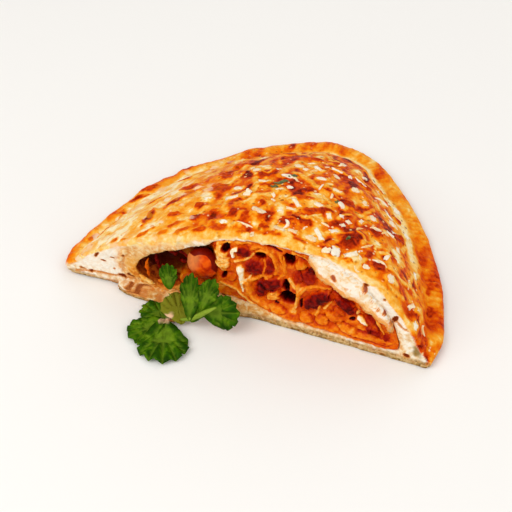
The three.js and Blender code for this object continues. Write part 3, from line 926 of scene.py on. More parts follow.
def makeDough():
    look = doughLook
    material, tree, shader, place = startMaterial("baked_dough")
    fine = mottled(tree, place, 2.4 * mm, 0.4)
    grains = mottled(tree, place, 2.2 * mm, 1.0)
    top = ramp(tree, unevenValue(tree, "toasting", fine["Patches"], 0.2), look["top"])
    # Gold streaks along the slope of the pale side.
    turn = {"Vector": place, "Rotation": (0, 0, look["streakHeading"]), "Scale": (1.4, 1, 1)}
    turned = addNode(tree, "ShaderNodeMapping", turn, vector_type="TEXTURE").outputs["Vector"]
    streaks = mottled(tree, turned, look["streakSize"], 0.5)
    top = layOver(tree, top, spreadValue(tree, streaks["Patches"], 0.5, 0.76), "#f4961e", 0.5, "pale")
    for size, radius, amount, area, strength, fleck in look["flecks"]:
        kind = {"Place": place, "Cell Size": size, "Radius": radius, "Amount": amount}
        top = layOver(tree, top, placeGroup(tree, specks, kind)["Mask"], fleck, strength, area)

    # The cut dough is cream and soft, and tan in its lower layers.
    crumb = layOver(tree, ramp(tree, fine["Patches"], look["crumb"]), "whiteness", "#fdf6ea", 0.6)
    height = addNode(tree, "ShaderNodeSeparateXYZ", {"Vector": place}).outputs["Z"]
    layered = calc(tree, "MULTIPLY_ADD", fine["Fine"], 1.2 * mm, height)
    waves = calc(tree, "SINE", calc(tree, "MULTIPLY", layered, 2 * math.pi / crustShape["layerPitch"]))
    tan = ramp(tree, spreadValue(tree, waves, -1.0, 1.0), look["layers"])
    grainy = calc(tree, "MULTIPLY_ADD", attribute(tree, "leftward"), -0.62, 1.02)
    tan = layOver(tree, tan, grainy, ramp(tree, grains["Patches"], look["tan"]))
    baked = spreadValue(tree, mottled(tree, place, 5 * mm)["Patches"], 0.5, 0.75)
    tan = layOver(tree, tan, baked, "#c8682a", 0.85, "leftward")
    crumb = layOver(tree, crumb, "tanned", tan, 0.94)
    # It is stained by herbs, oil and the oven, and most of all inside the pocket, where the oil stain runs
    # into painted shade.
    crumb = layOver(tree, crumb, "olive", "#8c6a20", 0.9)
    crumb = layOver(tree, crumb, "glow", ramp(tree, fine["Patches"], look["glow"]))
    burnt = unevenValue(tree, "scorch", fine["Fine"], 0.5)
    crumb = layOver(tree, crumb, spreadValue(tree, burnt, 0.05, 0.4), "#d88a44")
    crumb = layOver(tree, crumb, spreadValue(tree, burnt, 0.35, 0.75), "#7c2c0c")
    # Painted shade with the oil stain: the hollow darkens as the inside value grows.
    inside = attribute(tree, "inside")
    stainAndShade = calc(tree, "MULTIPLY_ADD", fine["Patches"], 0.25, calc(tree, "SUBTRACT", inside, 0.12))
    crumb = layOver(tree, crumb, spreadValue(tree, inside, 0.0, 0.06), ramp(tree, stainAndShade, look["stainAndShade"]))
    colour = layOver(tree, top, "cut", crumb)
    # The foot is floury and scorched in places.
    colour = layOver(tree, colour, "low", ramp(tree, grains["Patches"], look["foot"]), 0.9)

    bare = calc(tree, "MAXIMUM", attribute(tree, "cut"), attribute(tree, "low"))
    rough = calc(tree, "MULTIPLY_ADD", bare, 0.3, 0.42)
    rough = calc(tree, "MULTIPLY_ADD", calc(tree, "SUBTRACT", fine["Fine"], 0.5), 0.3, rough)
    grain = calc(tree, "MULTIPLY_ADD", fine["Patches"], 1.4, fine["Fine"])
    return endMaterial(material, shader, colour, rough, grain, 0.3 * mm, 0.7, 0.03)


crust = makeCrust()
shapeCrust(crust)
finishPiece(crust, makeDough(), "baked_dough", "crust")
crustTree = surfaceOf(crust)


# Shades of the filling run from 0 for black through maroon (0.15), red (0.35), orange (0.6) and gold
# (0.8) to 1 for cream.
fillingShape = {
    "voxel": 0.55 * mm,
    "smoothing": 30,
    "setBack": 0.6 * mm,
    "swell": 0.9 * mm,  # against the dough all round
    "swellRight": 1.6 * mm,
    "tuckCorner": 3.6 * mm,  # behind the edge of the roof, at the upper left
    "footSwell": 1.6 * mm,
    "creviceDepth": 0.7 * mm,
    "lineDepth": 0.8 * mm,
    "mostTriangles": 130000,
    # Patches only colour the front: x, height, width, tallness, tilt, shade.
    "patches": [
        [-12, 35, 9, 22, 0, 0.8], [-7, 24.5, 6, 6, 0, 0.55], [3, 18, 6, 9, 0, 0.62],
        [18, 33, 7, 14, 0, 0.6], [28, 39.5, 7, 9, 0, 0.7], [49, 13, 20, 11, 0, 0.58],
        [44, 13, 6, 7, 30, 0.7], [53, 11.5, 8, 4, 0, 0.76], [15, 10.5, 9, 5, -10, 0.74],
        [32, 10, 9, 5, -5, 0.7], [25.5, 10.5, 4, 4.4, 0, 0.92], [22, 34, 7, 9, 0, 0.5],
        [27, 33, 6, 8, 0, 0.38], [62, 9, 16, 4, -5, 0.62], [72, 20, 6, 12, 20, 0.55],
        [-14, 22, 7, 6, 0, 0.6], [41, 36, 7, 4, 0, 0.66], [8, 14, 8, 5, -20, 0.66],
        [40, 6, 30, 3, 0, 0.62], [60, 5.6, 30, 2.4, 0, 0.66], [-4, 45.5, 6, 2.4, 0, 0.7],
        [22, 37, 6, 3, 0, 0.6], [-12, 17.5, 10, 3, -5, 0.72],
    ],
    # Lumps stand out by the last number, and have a shade.
    "lumps": [
        [-1, 40.6, 8.5, 6.6, 0, 0.17, 1.6], [4.8, 32.6, 11, 10.5, 20, 0.19, 2.4],
        [12.4, 35, 5.4, 11.5, 8, 0.24, 1.4], [12.6, 23.6, 16, 8.6, 22, 0.16, 2.2],
        [8.6, 18.6, 5.6, 8.4, -10, 0.17, 1.4], [37.6, 21.6, 21, 8.4, 44, 0.13, 2.4],
        [52, 23.6, 15, 6.6, -26, 0.15, 2.0], [31.8, 33.4, 9.4, 10.5, 0, 0.27, 1.8],
        [67.4, 13.4, 9, 4.4, -8, 0.22, 1.2], [74, 12, 3.4, 4.6, 0, 0.26, 0.8],
        [34.2, 38.4, 8, 3, 12, 0.12, 0.4], [26.6, 32, 5, 7, 0, 0.32, 0.6],
        [15.4, 17.8, 8.6, 6.6, 35, 0.74, 1.8], [27.8, 39.8, 6, 7, 0, 0.68, 1.6],
        [61.2, 18, 7, 4.6, -38, 0.97, 1.2], [58.6, 21.8, 2.4, 3.4, 0, 0.85, 0.8],
        [47, 14, 10, 7, 10, 0.6, 1.6], [54, 10.6, 11, 5.6, -8, 0.68, 1.4], [41, 11, 8, 6, 0, 0.62, 1.2],
        [33, 9.4, 8, 5, 0, 0.66, 1.4], [18, 9.6, 8, 4.6, 0, 0.68, 1.2], [65, 20, 6, 7, 30, 0.36, 1.0],
        [-12, 36, 8, 19, 6, 0.82, 1.0], [-7, 24, 5.4, 5.6, 0, 0.56, 0.8],
        [49, 18.6, 7, 4.4, -20, 0.5, 0.8],
    ],
    # Pits go in by the last number and are painted black as shade.
    "shadowPits": [
        [-10, 42, 5, 7.6, -10, 4], [7, 40.2, 7.6, 5.2, 22, 5], [21.6, 41.6, 7.6, 7.6, 0, 6],
        [22.4, 18.6, 9.6, 8, -20, 6], [21.2, 25, 4, 9, 8, 5], [-10.4, 24.6, 2.8, 4.6, -20, 2],
        [56, 17, 3, 2.4, 0, 1.5], [44.4, 33.4, 5, 2, -20, 1.5], [17, 13.4, 3, 2, 0, 1.5],
        [29.6, 17, 2, 7, 0, 1.5],
    ],
    # Strands of melted cheese that lie on the front: places, width, shade.
    "strands": [
        [[(-5, 42), (-6.9, 40), (-6.3, 36.6)], 2.6, 0.97],
        [[(-5, 34.7), (-1.2, 35.8), (2.1, 38.1), (3.6, 40.4)], 2.0, 0.8],
        [[(-2.2, 31), (-1.8, 26.5), (-1.2, 22.6)], 4.2, 0.99],
        [[(-1.2, 23), (-1.1, 19.4), (-0.4, 16.6)], 1.8, 0.93],
        [[(0.2, 23), (2.2, 25.6), (3, 27)], 1.5, 0.9],
        [[(1.1, 22.2), (2.1, 18.2), (4.4, 13.9), (8.4, 11.2), (13, 10)], 3.2, 0.68],
        [[(2.7, 24.6), (6, 25.9), (8.7, 28.6), (10.5, 27.8), (13, 29.4)], 2.8, 0.7],
        [[(2.7, 43.2), (5.8, 45.6), (9.1, 45.6), (12.2, 43.2), (15, 39.7), (16, 35.3), (15, 30.3)], 2.4,
         0.66],
        [[(9.6, 38.4), (10.2, 34.7), (9.4, 30.5)], 1.7, 0.66],
        [[(17, 42.6), (19.4, 37), (19.6, 32), (17, 28.6)], 2.2, 0.68],
        [[(22.6, 30), (24.8, 27.3), (27.3, 25.2), (30, 26.6)], 2.2, 0.8],
        [[(27.2, 27.1), (27.6, 22.5), (27.4, 16.7), (25.7, 10.8)], 2.2, 0.76],
        [[(27.9, 22.6), (31, 26.6), (36.3, 29.6), (43.4, 30.7)], 2.2, 0.7],
        [[(37.7, 12.9), (38.7, 16.4), (39.3, 19.6)], 1.9, 0.74],
        [[(41.6, 18.1), (44.6, 22.6)], 1.5, 0.78],
        [[(66.3, 23.6), (69.3, 19.9), (72, 15.5)], 1.8, 0.72],
        [[(68.6, 27), (72.9, 21.8), (75, 15.3)], 1.8, 0.66],
        [[(57.8, 8.2), (64, 9.2), (70.6, 9.8), (77.2, 9.8)], 1.6, 0.66],
        [[(-13, 44), (-4, 46.6), (2, 46)], 1.6, 0.72],
        [[(23, 46), (28, 44.6), (34, 42), (38, 42)], 1.4, 0.76],
        [[(-12, 20), (-5, 18), (0, 13.6), (6, 9.6), (14, 7.6)], 1.6, 0.8],
        [[(14, 7.6), (30, 5.6), (48, 5.2)], 1.3, 0.68],
    ],
    # Thin dark lines, given in the same way. The first two, along the underside of the roof's edge, are
    # painted shadow.
    "darkAndShadowLines": [
        [[(-6, 47), (0, 48), (6, 48), (12, 46.8), (17, 45)], 1.3, 0.12],
        [[(25, 45.3), (30, 43.4), (34.4, 43), (38, 43.4)], 1.2, 0.14],
        [[(60.3, 26.2), (64.1, 23.3), (68.1, 19.4), (71.2, 15.2)], 2.2, 0.22],
        [[(60, 11), (68, 11.6), (74, 9.4)], 1.1, 0.28], [[(56, 7), (66, 7.4), (76, 8)], 0.9, 0.4],
        [[(5, 27.2), (0.6, 29.4)], 1.0, 0.3], [[(44, 31), (50, 28), (56, 26)], 1.6, 0.2],
    ],
    # Shreds and lumps inside the hollow and over the deepest pits: places, how far out, radii, shade.
    "looseStrands": [
        [[(-56, 12), (-52, 9.6), (-47, 9)], -2.6, 1.6, 1.4, 0.8],
        [[(-46, 10.4), (-41, 9.4), (-37, 11)], -4.0, 1.6, 1.2, 0.66],
        [[(-51.6, 22.4), (-52.6, 19.4), (-52.2, 16), (-51, 12)], -4.6, 0.8, 1.2, 0.56],
        [[(-49, 24), (-48.4, 20), (-46.6, 16)], -8.0, 1.3, 1.8, 0.16],
        [[(-45, 19), (-41, 17), (-37, 16.8)], -6.5, 2.4, 1.8, 0.22],
        [[(-43, 28), (-41, 26.4), (-38, 26)], -9.0, 1.5, 1.7, 0.2],
        [[(-36, 29), (-33, 27), (-30.4, 26)], -8.5, 1.6, 1.8, 0.22],
        [[(-33, 15.6), (-30, 17), (-28, 20)], -4.6, 1.8, 1.6, 0.46],
        [[(-37, 22), (-34, 21), (-31, 22)], -10.0, 2.0, 1.6, 0.16],
        [[(-31, 24.6), (-29.4, 22.4), (-29, 19)], -6.0, 1.6, 1.4, 0.4],
        [[(5, 43), (9, 45.2), (13, 42.6), (15.6, 38), (16, 33)], 0.6, 1.1, 0.9, 0.68],
        [[(22.4, 30.4), (24.6, 27.2), (27.6, 24.8)], 0.8, 1.0, 0.8, 0.8],
        [[(27.4, 26), (27.8, 20), (26.6, 12)], 0.9, 0.9, 1.1, 0.78],
        [[(-5, 42), (-7, 40), (-6.2, 36.8)], 0.8, 1.1, 0.8, 0.97],
        [[(-2.3, 31), (-1.7, 27), (-1.1, 21.6)], 0.7, 1.9, 0.7, 0.99],
        [[(18.6, 43), (20.4, 38.4), (20, 33)], 0.2, 0.9, 0.8, 0.66],
        [[(67, 24), (70, 20), (73, 15)], 0.5, 0.9, 0.8, 0.72],
    ],
}


# The shade of each point near the front, and how far it stands out.
def cookFront(points):
    shape = fillingShape
    across, up = points[:, 0], points[:, 2]
    ragged = noiseAt(points, 3 * mm, 2.0, 2)
    out = 0.9 * mm * noiseAt(points, 7 * mm, 6.0) + 0.6 * mm * noiseAt(points, 2.6 * mm, 8.0, 2)
    out += shape["footSwell"] * fall(up, 6, 12) - shape["setBack"]
    shade = 0.56 + 0.16 * ragged + 0.1 * noiseAt(points, 8 * mm, 12.0)
    for patch in shape["patches"]:
        mask = smoothStep(ovalField(across, up, patch) + 0.35 * ragged, -0.1, 0.7)
        shade += (patch[5] + 0.07 * ragged - shade) * mask
    for lump in shape["lumps"]:
        field = ovalField(across, up, lump) + 0.28 * ragged
        crevice = np.exp(-((field + 0.04) / 0.14) ** 2)
        shade += (lump[5] + 0.05 * ragged - shade) * smoothStep(field, 0.02, 0.3)
        # Painted shade: a darker ring in the crevice round each lump.
        shade -= 0.12 * crevice
        out += lump[6] * mm * np.sqrt(clamp01(field * 1.3)) - shape["creviceDepth"] * crevice
    for shadowPit in shape["shadowPits"]:
        field = ovalField(across, up, shadowPit) + 0.3 * ragged
        # Painted shade: each pit is coloured near black.
        shade += (0.02 - shade) * smoothStep(field, 0.0, 0.35)
        out -= shadowPit[5] * mm * smoothStep(field, 0.0, 0.7)
    for places, width, level in shape["darkAndShadowLines"]:
        distance, _ = lineField(across, up, places)
        mask = fall(distance + 0.3 * mm * ragged, 0.25 * width, 0.8 * width)
        shade += (level - shade) * mask
        out -= shape["lineDepth"] * mask
    for places, width, level in shape["strands"]:
        distance, share = lineField(across, up, places)
        half = width * mm * (0.55 - 0.22 * share)
        ridge = clamp01(1 - (distance + 0.35 * mm * ragged) / half)
        shade += (level + 0.05 * ragged - shade) * smoothStep(ridge, 0.0, 0.35)
        out += 1.5 * half * np.sqrt(ridge) * (1 - 0.4 * share)
    return shade, out


def makeFilling():
    shape = fillingShape
    body = remeshNode("filling", "cooked_filling", shape["voxel"], 0, 0)
    makeGroup(body, "front", fall(behindFace(readPoints(body)), 5, 11))
    applyModifier(body, "SMOOTH", factor=0.7, iterations=shape["smoothing"], vertex_group="front")
    thinHidden(body, (behindFace(readPoints(body)) > 12 * mm).astype(float), shape["mostTriangles"])
    body.vertex_groups.clear()

    # The front is drawn out level with the cut and its edges swell, before lumps and pits are made.
    points = readPoints(body)
    normals = readNormals(body)
    x, z = points[:, 0], points[:, 2]
    fromFace = behindFace(points)
    facing = smoothStep(-normals[:, 1], 0.1, 0.5) * rise(x, -19, -13) * fall(fromFace, 8, 12)
    side = (1 - facing) * fall(fromFace, 4, 10) * rise(x, -16, -10)
    points[:, 1] -= fromFace * facing
    points += normals * (shape["swell"] * side)[:, None]
    points[:, 0] += shape["swellRight"] * facing * rise(x, 68, 77)
    points[:, 1] += shape["tuckCorner"] * rise(-x, 20, 25) * rise(z, 33, 37)
    fromFace = behindFace(points)
    near = np.nonzero(fromFace < 12 * mm)[0]
    shade, out = cookFront(points[near])
    points[near] += np.array(faceOut) * (fall(fromFace[near], 1.5, 7) * out)[:, None]
    writePoints(body, points)
    everywhere = np.full(len(points), 0.5)
    everywhere[near] = shade
    paint(body, "shade", everywhere)
    # Painted shade: the filling darkens the deeper it lies behind the cut.
    paint(body, "deep", rise(fromFace, 5, 10))
    return body


# Draws a list of tubes and joins them to one piece. A tube is its points, its two end radii in
# millimetres and its shade.
def drawTubes(tubes, pieceName, sides=1, rings=4):
    strands = []
    for points, startRadius, endRadius, shade in tubes:
        curve = bpy.data.curves.new(pieceName, "CURVE")
        curve.dimensions = "3D"
        curve.resolution_u = rings
        curve.bevel_depth = 1.0
        curve.bevel_resolution = sides
        curve.use_fill_caps = True
        spline = curve.splines.new("NURBS")
        last = len(points) - 1
        spline.points.add(last)
        for index, point in enumerate(points):
            taper = 0.35 if index in (0, last) else 1.0
            radius = startRadius + (endRadius - startRadius) * index / last
            spline.points[index].co = (*point, 1)
            spline.points[index].radius = taper * radius * mm
        spline.order_u = 3
        spline.use_endpoint_u = True
        strand = bpy.data.objects.new(pieceName, curve)
        bpy.context.scene.collection.objects.link(strand)
        pickOnly(strand)
        bpy.ops.object.convert(target="MESH")
        paintAll(strand, "shade", shade)
        strands.append(strand)
    return joinPieces(strands, pieceName)


# Copies a model to each place and joins the copies to one piece. A place is a matrix and a shade.
def layCopies(models, places, pieceName):
    copies = []
    for index, (matrix, shade) in enumerate(places):
        model = models[index % len(models)]
        copy = model.copy()
        copy.data = model.data.copy()
        copy.data.transform(matrix)
        bpy.context.scene.collection.objects.link(copy)
        paintAll(copy, "shade", shade)
        copies.append(copy)
    for model in models:
        bpy.data.objects.remove(model)
    return joinPieces(copies, pieceName)


def makeLooseStrands():
    tubes = []
    for places, out, *rest in fillingShape["looseStrands"]:
        tubes.append(([onFace(x, z, out) for x, z in places], *rest))
    piece = drawTubes(tubes, "melted_strands", sides=3, rings=8)
    points = readPoints(piece)
    lumps = 0.8 * mm * noiseAt(points, 2.2 * mm, 4.0)
    writePoints(piece, points + readNormals(piece) * lumps[:, None])
    return piece


# The look of everything that was cooked with cheese and sauce. The shade comes from the piece.
def makeCooked(name, stops, patchSize, variation, gloss, grain=0.3 * mm):
    material, tree, shader, place = startMaterial(name)
    patches = mottled(tree, place, patchSize)
    colour = ramp(tree, unevenValue(tree, "shade", patches["Patches"], variation), stops)
    # Painted shade: where a piece lies deep behind the cut it is darkened to near black.
    colour = layOver(tree, colour, "deep", "#360602", 0.9)
    rough = calc(tree, "MULTIPLY_ADD", patches["Fine"], 0.35, gloss)
    return endMaterial(material, shader, colour, rough, patches["Fine"], grain, 0.6, 0.06)


fillingStops = [
    (0.0, "#180000"), (0.12, "#5a0200"), (0.22, "#8a0c00"), (0.34, "#b02200"), (0.46, "#cc4000"),
    (0.58, "#e06000"), (0.7, "#f08610"), (0.8, "#f9b044"), (0.9, "#fcd890"), (1.0, "#fdf4de"),
]
cookedFilling = makeCooked("cooked_filling", fillingStops, 2.2 * mm, 0.16, 0.1, 0.14 * mm)
finishPiece(makeFilling(), cookedFilling, "meat_and_tomato_filling", "filling")
cookedStrands = makeCooked("melted_strands", fillingStops, 2.4 * mm, 0.16, 0.16)
finishPiece(makeLooseStrands(), cookedStrands, "melted_cheese")


tomatoShape = {
    "voxel": 0.5 * mm,
    "grow": (1.22, 1.0, 1.14),
    "move": (0.9, -1.2, -3.4),
    "skinToward": (0.27, 0.93, 0.26),
    "fleshAndHighlightToward": (-0.8, -0.3, 0.5),
    "radius": 7.6 * mm,
    "stops": [(0.1, "#a82000"), (0.5, "#d03a00"), (0.9, "#e85a06")],
    "fleshAndHighlight": "#e0904c",
    "skin": "#700c00",
}


def makeTomato():
    shape = tomatoShape
    piece = remeshNode("tomato_piece", "cooked_tomato", shape["voxel"], 0.5, 3)
    points = readPoints(piece)
    lumps = 0.6 * mm * noiseAt(points, 5 * mm, 6.0) + 0.2 * mm * noiseAt(points, 1.5 * mm, 2.0)
    points += readNormals(piece) * lumps[:, None]
    low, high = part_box("tomato_piece")
    middle = np.array((low + high) / 2)
    points = middle + (points - middle) * np.array(shape["grow"]) + np.array(shape["move"]) * mm
    writePoints(piece, points)
    offset = points - points.mean(axis=0)
    toward = offset / np.linalg.norm(offset, axis=1)[:, None]
    ragged = 0.12 * noiseAt(points, 3 * mm)
    skin = smoothStep(toward @ np.array(shape["skinToward"]) + ragged, 0.18, 0.36)
    # A dark rim of skin runs over the top and down the right side.
    right = offset @ np.array([0.95, 0.32, 0]) / shape["radius"]
    top = offset @ np.array([-0.23, 0.68, 0.69]) / shape["radius"]
    rim = smoothStep(np.hypot(right + 0.12, top + 0.16) + 0.5 * ragged, 0.64, 0.78)
    rim *= smoothStep(0.6 * right + 0.8 * top, -0.1, 0.2)
    paint(piece, "skin", np.maximum(skin, rim))
    # Partly flesh and partly a painted highlight: the tomato is paler on its upper left, the side towards
    # the key light.
    paint(piece, "fleshAndHighlight", smoothStep(toward @ np.array(shape["fleshAndHighlightToward"]) + ragged, 0.3, 0.9))
    return piece


def makeTomatoLook():
    material, tree, shader, place = startMaterial("cooked_tomato")
    patches = mottled(tree, place, 4 * mm, 0.4)
    colour = ramp(tree, patches["Patches"], tomatoShape["stops"])
    # Paler flesh and painted highlight on the upper left.
    colour = layOver(tree, colour, "fleshAndHighlight", tomatoShape["fleshAndHighlight"], 0.6)
    skin = unevenValue(tree, "skin", patches["Fine"], 0.4)
    colour = layOver(tree, colour, spreadValue(tree, skin, 0.2, 0.6), tomatoShape["skin"])
    rough = calc(tree, "MULTIPLY_ADD", patches["Fine"], 0.3, 0.2)
    return endMaterial(material, shader, colour, rough, patches["Fine"], 0.3 * mm, 0.4, 0.05)


finishPiece(makeTomato(), makeTomatoLook(), "cooked_tomato", "tomato_piece")


cheeseShape = {
    "voxel": 0.7 * mm,
    "bulge": 2.0 * mm,
    "droop": 1.6 * mm,
    "raise": 2.2 * mm,  # against the roof
    "stops": [(0.1, "#efc68c"), (0.4, "#f7e4c6"), (1.0, "#fbf4e8")],
    # Browned spots: x, height, width, tallness, tilt and strength.
    "spots": [
        [45.3, 40.6, 4.4, 3.4, -20, 0.9], [60.8, 40.2, 4, 2.6, -20, 0.9], [71.2, 35, 3.6, 3, -30, 0.8],
        [68.6, 31, 2.6, 2.4, 0, 0.8], [72.2, 29.6, 3.4, 2.4, -40, 0.9], [65, 34.4, 3, 2, -30, 0.5],
        [76, 24, 3, 2.4, -40, 0.6], [52, 37.6, 3, 1.6, 0, 0.35], [38, 41, 5, 2, -15, 0.45],
    ],
    # The lower edge, by x and height, which has taken up orange oil.
    "lowerEdge": [(31, 47), (38, 39), (50, 32.5), (62, 29.5), (78, 19), (100, 8)],
}


def makeCheese():
    shape = cheeseShape
    piece = remeshNode("cheese_layer", "melted_cheese_layer", shape["voxel"], 0.6, 6)
    points = readPoints(piece)
    normals = readNormals(piece)
    x, z = points[:, 0], points[:, 2]
    front = fall(behindFace(points), 1, 6)
    lumps = 1.3 * mm * noiseAt(points, 7 * mm, 3.0) + 0.5 * mm * noiseAt(points, 2.5 * mm, 1.0)
    bulge = shape["bulge"] * smoothStep(-normals[:, 1], 0.2, 0.9)
    points += normals * (front * (lumps + bulge))[:, None]
    down = smoothStep(-normals[:, 2], 0.1, 0.7)
    points[:, 2] -= front * down * shape["droop"] * (0.5 + noiseAt(points, 5 * mm, 11.0))
    points[:, 2] += front * smoothStep(normals[:, 2], 0.1, 0.7) * shape["raise"]
    writePoints(piece, points)
    ragged = noiseAt(points, 2.2 * mm)
    paint(piece, "browned", faceSpots(x, z, ragged, shape["spots"], 0.2))
    edgeX, edgeZ = np.array(shape["lowerEdge"]).T * mm
    above = z - np.interp(x, edgeX, edgeZ)
    paint(piece, "underside", fall(above + 1.2 * mm * ragged, 0.8, 4.4))
    return piece


def makeCheeseLook():
    material, tree, shader, place = startMaterial("melted_cheese")
    patches = mottled(tree, place, 5 * mm, 0.5)
    colour = ramp(tree, patches["Patches"], cheeseShape["stops"])
    edge = unevenValue(tree, "underside", patches["Fine"], 0.6)
    colour = layOver(tree, colour, spreadValue(tree, edge, 0.15, 0.75), "#f0a040")
    cream = mottled(tree, place, 2.6 * mm, 0.8)
    colour = layOver(tree, colour, spreadValue(tree, cream["Patches"], 0.55, 0.95), "#f4c482")
    spots = unevenValue(tree, "browned", patches["Fine"], 0.3)
    colour = layOver(tree, colour, spreadValue(tree, spots, 0.1, 0.5), "#e88c30")
    colour = layOver(tree, colour, spreadValue(tree, spots, 0.45, 0.9), "#a84410")
    rough = calc(tree, "MULTIPLY_ADD", patches["Fine"], 0.3, 0.25)
    return endMaterial(material, shader, colour, rough, patches["Fine"], 0.3 * mm, 0.5)


finishPiece(makeCheese(), makeCheeseLook(), "melted_cheese", "cheese_layer")


toppingShape = {
    "seed": 9,
    "strewnBits": 34,
    "bitsApart": 4.5,
    "shreds": 16,
    "shredsApart": 7,
    "sunk": 0.1,  # how deep bits and shreds lie in the crust
    "bitKinds": [(0.5, 0.0, 0.5), (0.7, 0.3, 0.8), (0.42, -0.3, 0.3), (0.85, 0.1, 0.9), (0.55, -0.15, 0.7)],
    "bitStops": [(0.0, "#f0a850"), (0.3, "#f6cc8c"), (0.6, "#f9e2ba"), (1.0, "#fcf2de")],
    "shredStops": [(0.0, "#f0a040"), (0.35, "#f8cc80"), (0.7, "#fcebc8"), (1.0, "#fdf8ea")],
    # Green scraps: x, behind, length, width, heading.
    "herbs": [
        [2.4, 60, 10, 2.0, 52], [6, 67, 5, 1.6, 40], [0, 54, 4, 1.4, 20], [46, 28, 2.6, 1.2, 60],
        [33, 55, 2.4, 1.2, 10],
    ],
}


# Places for strewn things on the browned side, some way from each other.
def strewPlaces(count, apart, spread, taken):
    chosen = list(taken)
    while len(chosen) < count + len(taken):
        x, behind = spread.uniform(0, 92), spread.uniform(6, 100)
        place, normal = topAt(crustTree, x, behind)
        if place is None or place.z < 11 * mm or normal.z < 0.55:
            continue
        if all(math.hypot(x - c[0], behind - c[1]) > apart for c in chosen):
            chosen.append((x, behind))
    return chosen[len(taken):]


# One short piece of grated cheese, a unit long, softened by the oven. The kind is its width, how much
# it bows and how blunt its ends are.
def makeBitModel(width, bow, blunt):
    bpy.ops.object.select_all(action="DESELECT")
    bpy.ops.mesh.primitive_cube_add(size=1, location=(0, 0, 0), scale=(1, width, 0.34))
    bit = bpy.context.active_object
    bpy.ops.object.mode_set(mode="EDIT")
    bpy.ops.mesh.select_all(action="SELECT")
    bpy.ops.mesh.subdivide(number_cuts=4)
    bpy.ops.mesh.vertices_smooth(factor=0.6, repeat=4)
    bpy.ops.object.mode_set(mode="OBJECT")
    points = readPoints(bit)
    points[:, 1] += bow * (0.25 - points[:, 0] ** 2)
    points[:, 1] *= 1 - (0.9 - blunt) * np.abs(points[:, 0] + 0.15)
    kinds = ((0.34, 3.0 + bow), (0.3, 6.0 + bow + blunt), (0.3, 9.0 + blunt))
    points += 0.24 * np.stack([noiseAt(points, size, shift) for size, shift in kinds], 1)
    writePoints(bit, points * 1.3)
    return bit


# A place on the crust, for a model that is a unit long, turned to the heading.
def crustMatrix(x, behind, lift, heading, length, width, height):
    place, normal = topAt(crustTree, x, behind)
    axes = Matrix((*alongSurface(normal, heading), normal)).transposed().to_4x4()
    size = Matrix.Diagonal((length * mm, width * mm, height * mm, 1))
    return Matrix.Translation(place + normal * lift * mm) @ axes @ size


def makeCheeseBits():
    shape = toppingShape
    spread = random.Random(shape["seed"])
    taken = [bit[:2] for bit in cheeseBits]
    strewn = [
        [x, behind, spread.uniform(2.4, 4.4), spread.uniform(1.3, 2.2), spread.uniform(-60, 120)]
        for x, behind in strewPlaces(shape["strewnBits"], shape["bitsApart"], spread, taken)
    ]
    places = []
    for x, behind, length, width, heading in cheeseBits + strewn:
        size = (length * 0.9, width * 1.7, width * 0.75)
        places.append((crustMatrix(x, behind, -shape["sunk"], heading, *size), spread.uniform(0.5, 1.0)))
    models = [makeBitModel(*kind) for kind in shape["bitKinds"]]
    return layCopies(models, places, "grated_cheese_bits")


# A shred that has melted flat and follows the crust.
def shredPath(x, behind, heading, length, bend, steps=4):
    points = []
    turn = math.radians(heading)
    for _ in range(steps + 1):
        place, normal = topAt(crustTree, x, behind)
        if place is None:
            break
        points.append(place - normal * toppingShape["sunk"] * mm)
        x += length / steps * math.cos(turn)
        behind += length / steps * math.sin(turn)
        turn += bend / steps
    return points


def makeShreds():
    shape = toppingShape
    spread = random.Random(shape["seed"] + 1)
    tubes = []
    for x, behind in strewPlaces(shape["shreds"], shape["shredsApart"], spread, []):
        length = spread.uniform(4, 9)
        path = shredPath(x, behind, spread.uniform(0, 360), length, spread.uniform(-2.2, 2.2))
        if len(path) < 4:
            continue
        radius = spread.uniform(0.6, 1.0)
        tubes.append((path, radius, radius * spread.uniform(0.6, 1.0), spread.uniform(0.35, 0.8)))
    return drawTubes(tubes, "melted_cheese_shreds", sides=1, rings=3)


# A crumpled scrap of leaf, a unit long.
def makeHerbModel():
    bpy.ops.object.select_all(action="DESELECT")
    bpy.ops.mesh.primitive_grid_add(x_subdivisions=9, y_subdivisions=4, size=1, location=(0, 0, 0))
    scrap = bpy.context.active_object
    points = readPoints(scrap)
    points[:, 1] *= 0.55 * np.sqrt(clamp01(1.02 - (2 * points[:, 0]) ** 2)) + 0.08
    points[:, 2] = 0.12 * np.sin(points[:, 0] * 9) + 0.25 * points[:, 1]
    writePoints(scrap, points)
    applyModifier(scrap, "SOLIDIFY", thickness=0.08, offset=0)
    return scrap


def makeHerbs():
    places = []
    for x, behind, length, width, heading in toppingShape["herbs"]:
        places.append((crustMatrix(x, behind, 0.45, heading, length, width * 2, 3), 0.5))
    return layCopies([makeHerbModel()], places, "baked_herb_scraps")


def makeHerbLook():
    material, tree, shader, place = startMaterial("baked_herb")
    patches = mottled(tree, place, 1.5 * mm)
    colour = ramp(tree, patches["Patches"], [(0.1, "#3c4410"), (0.5, "#5c6424"), (0.9, "#8c7c3c")])
    rough = calc(tree, "MULTIPLY_ADD", patches["Fine"], 0.3, 0.45)
    return endMaterial(material, shader, colour, rough, patches["Fine"], 0.2 * mm, 0.5)


gratedCheese = makeCooked("grated_cheese", toppingShape["bitStops"], 1.5 * mm, 0.5, 0.25)
finishPiece(makeCheeseBits(), gratedCheese, "melted_cheese")
meltedShreds = makeCooked("melted_shreds", toppingShape["shredStops"], 2.0 * mm, 0.4, 0.25)
finishPiece(makeShreds(), meltedShreds, "melted_cheese")
finishPiece(makeHerbs(), makeHerbLook(), "parsley_leaf")


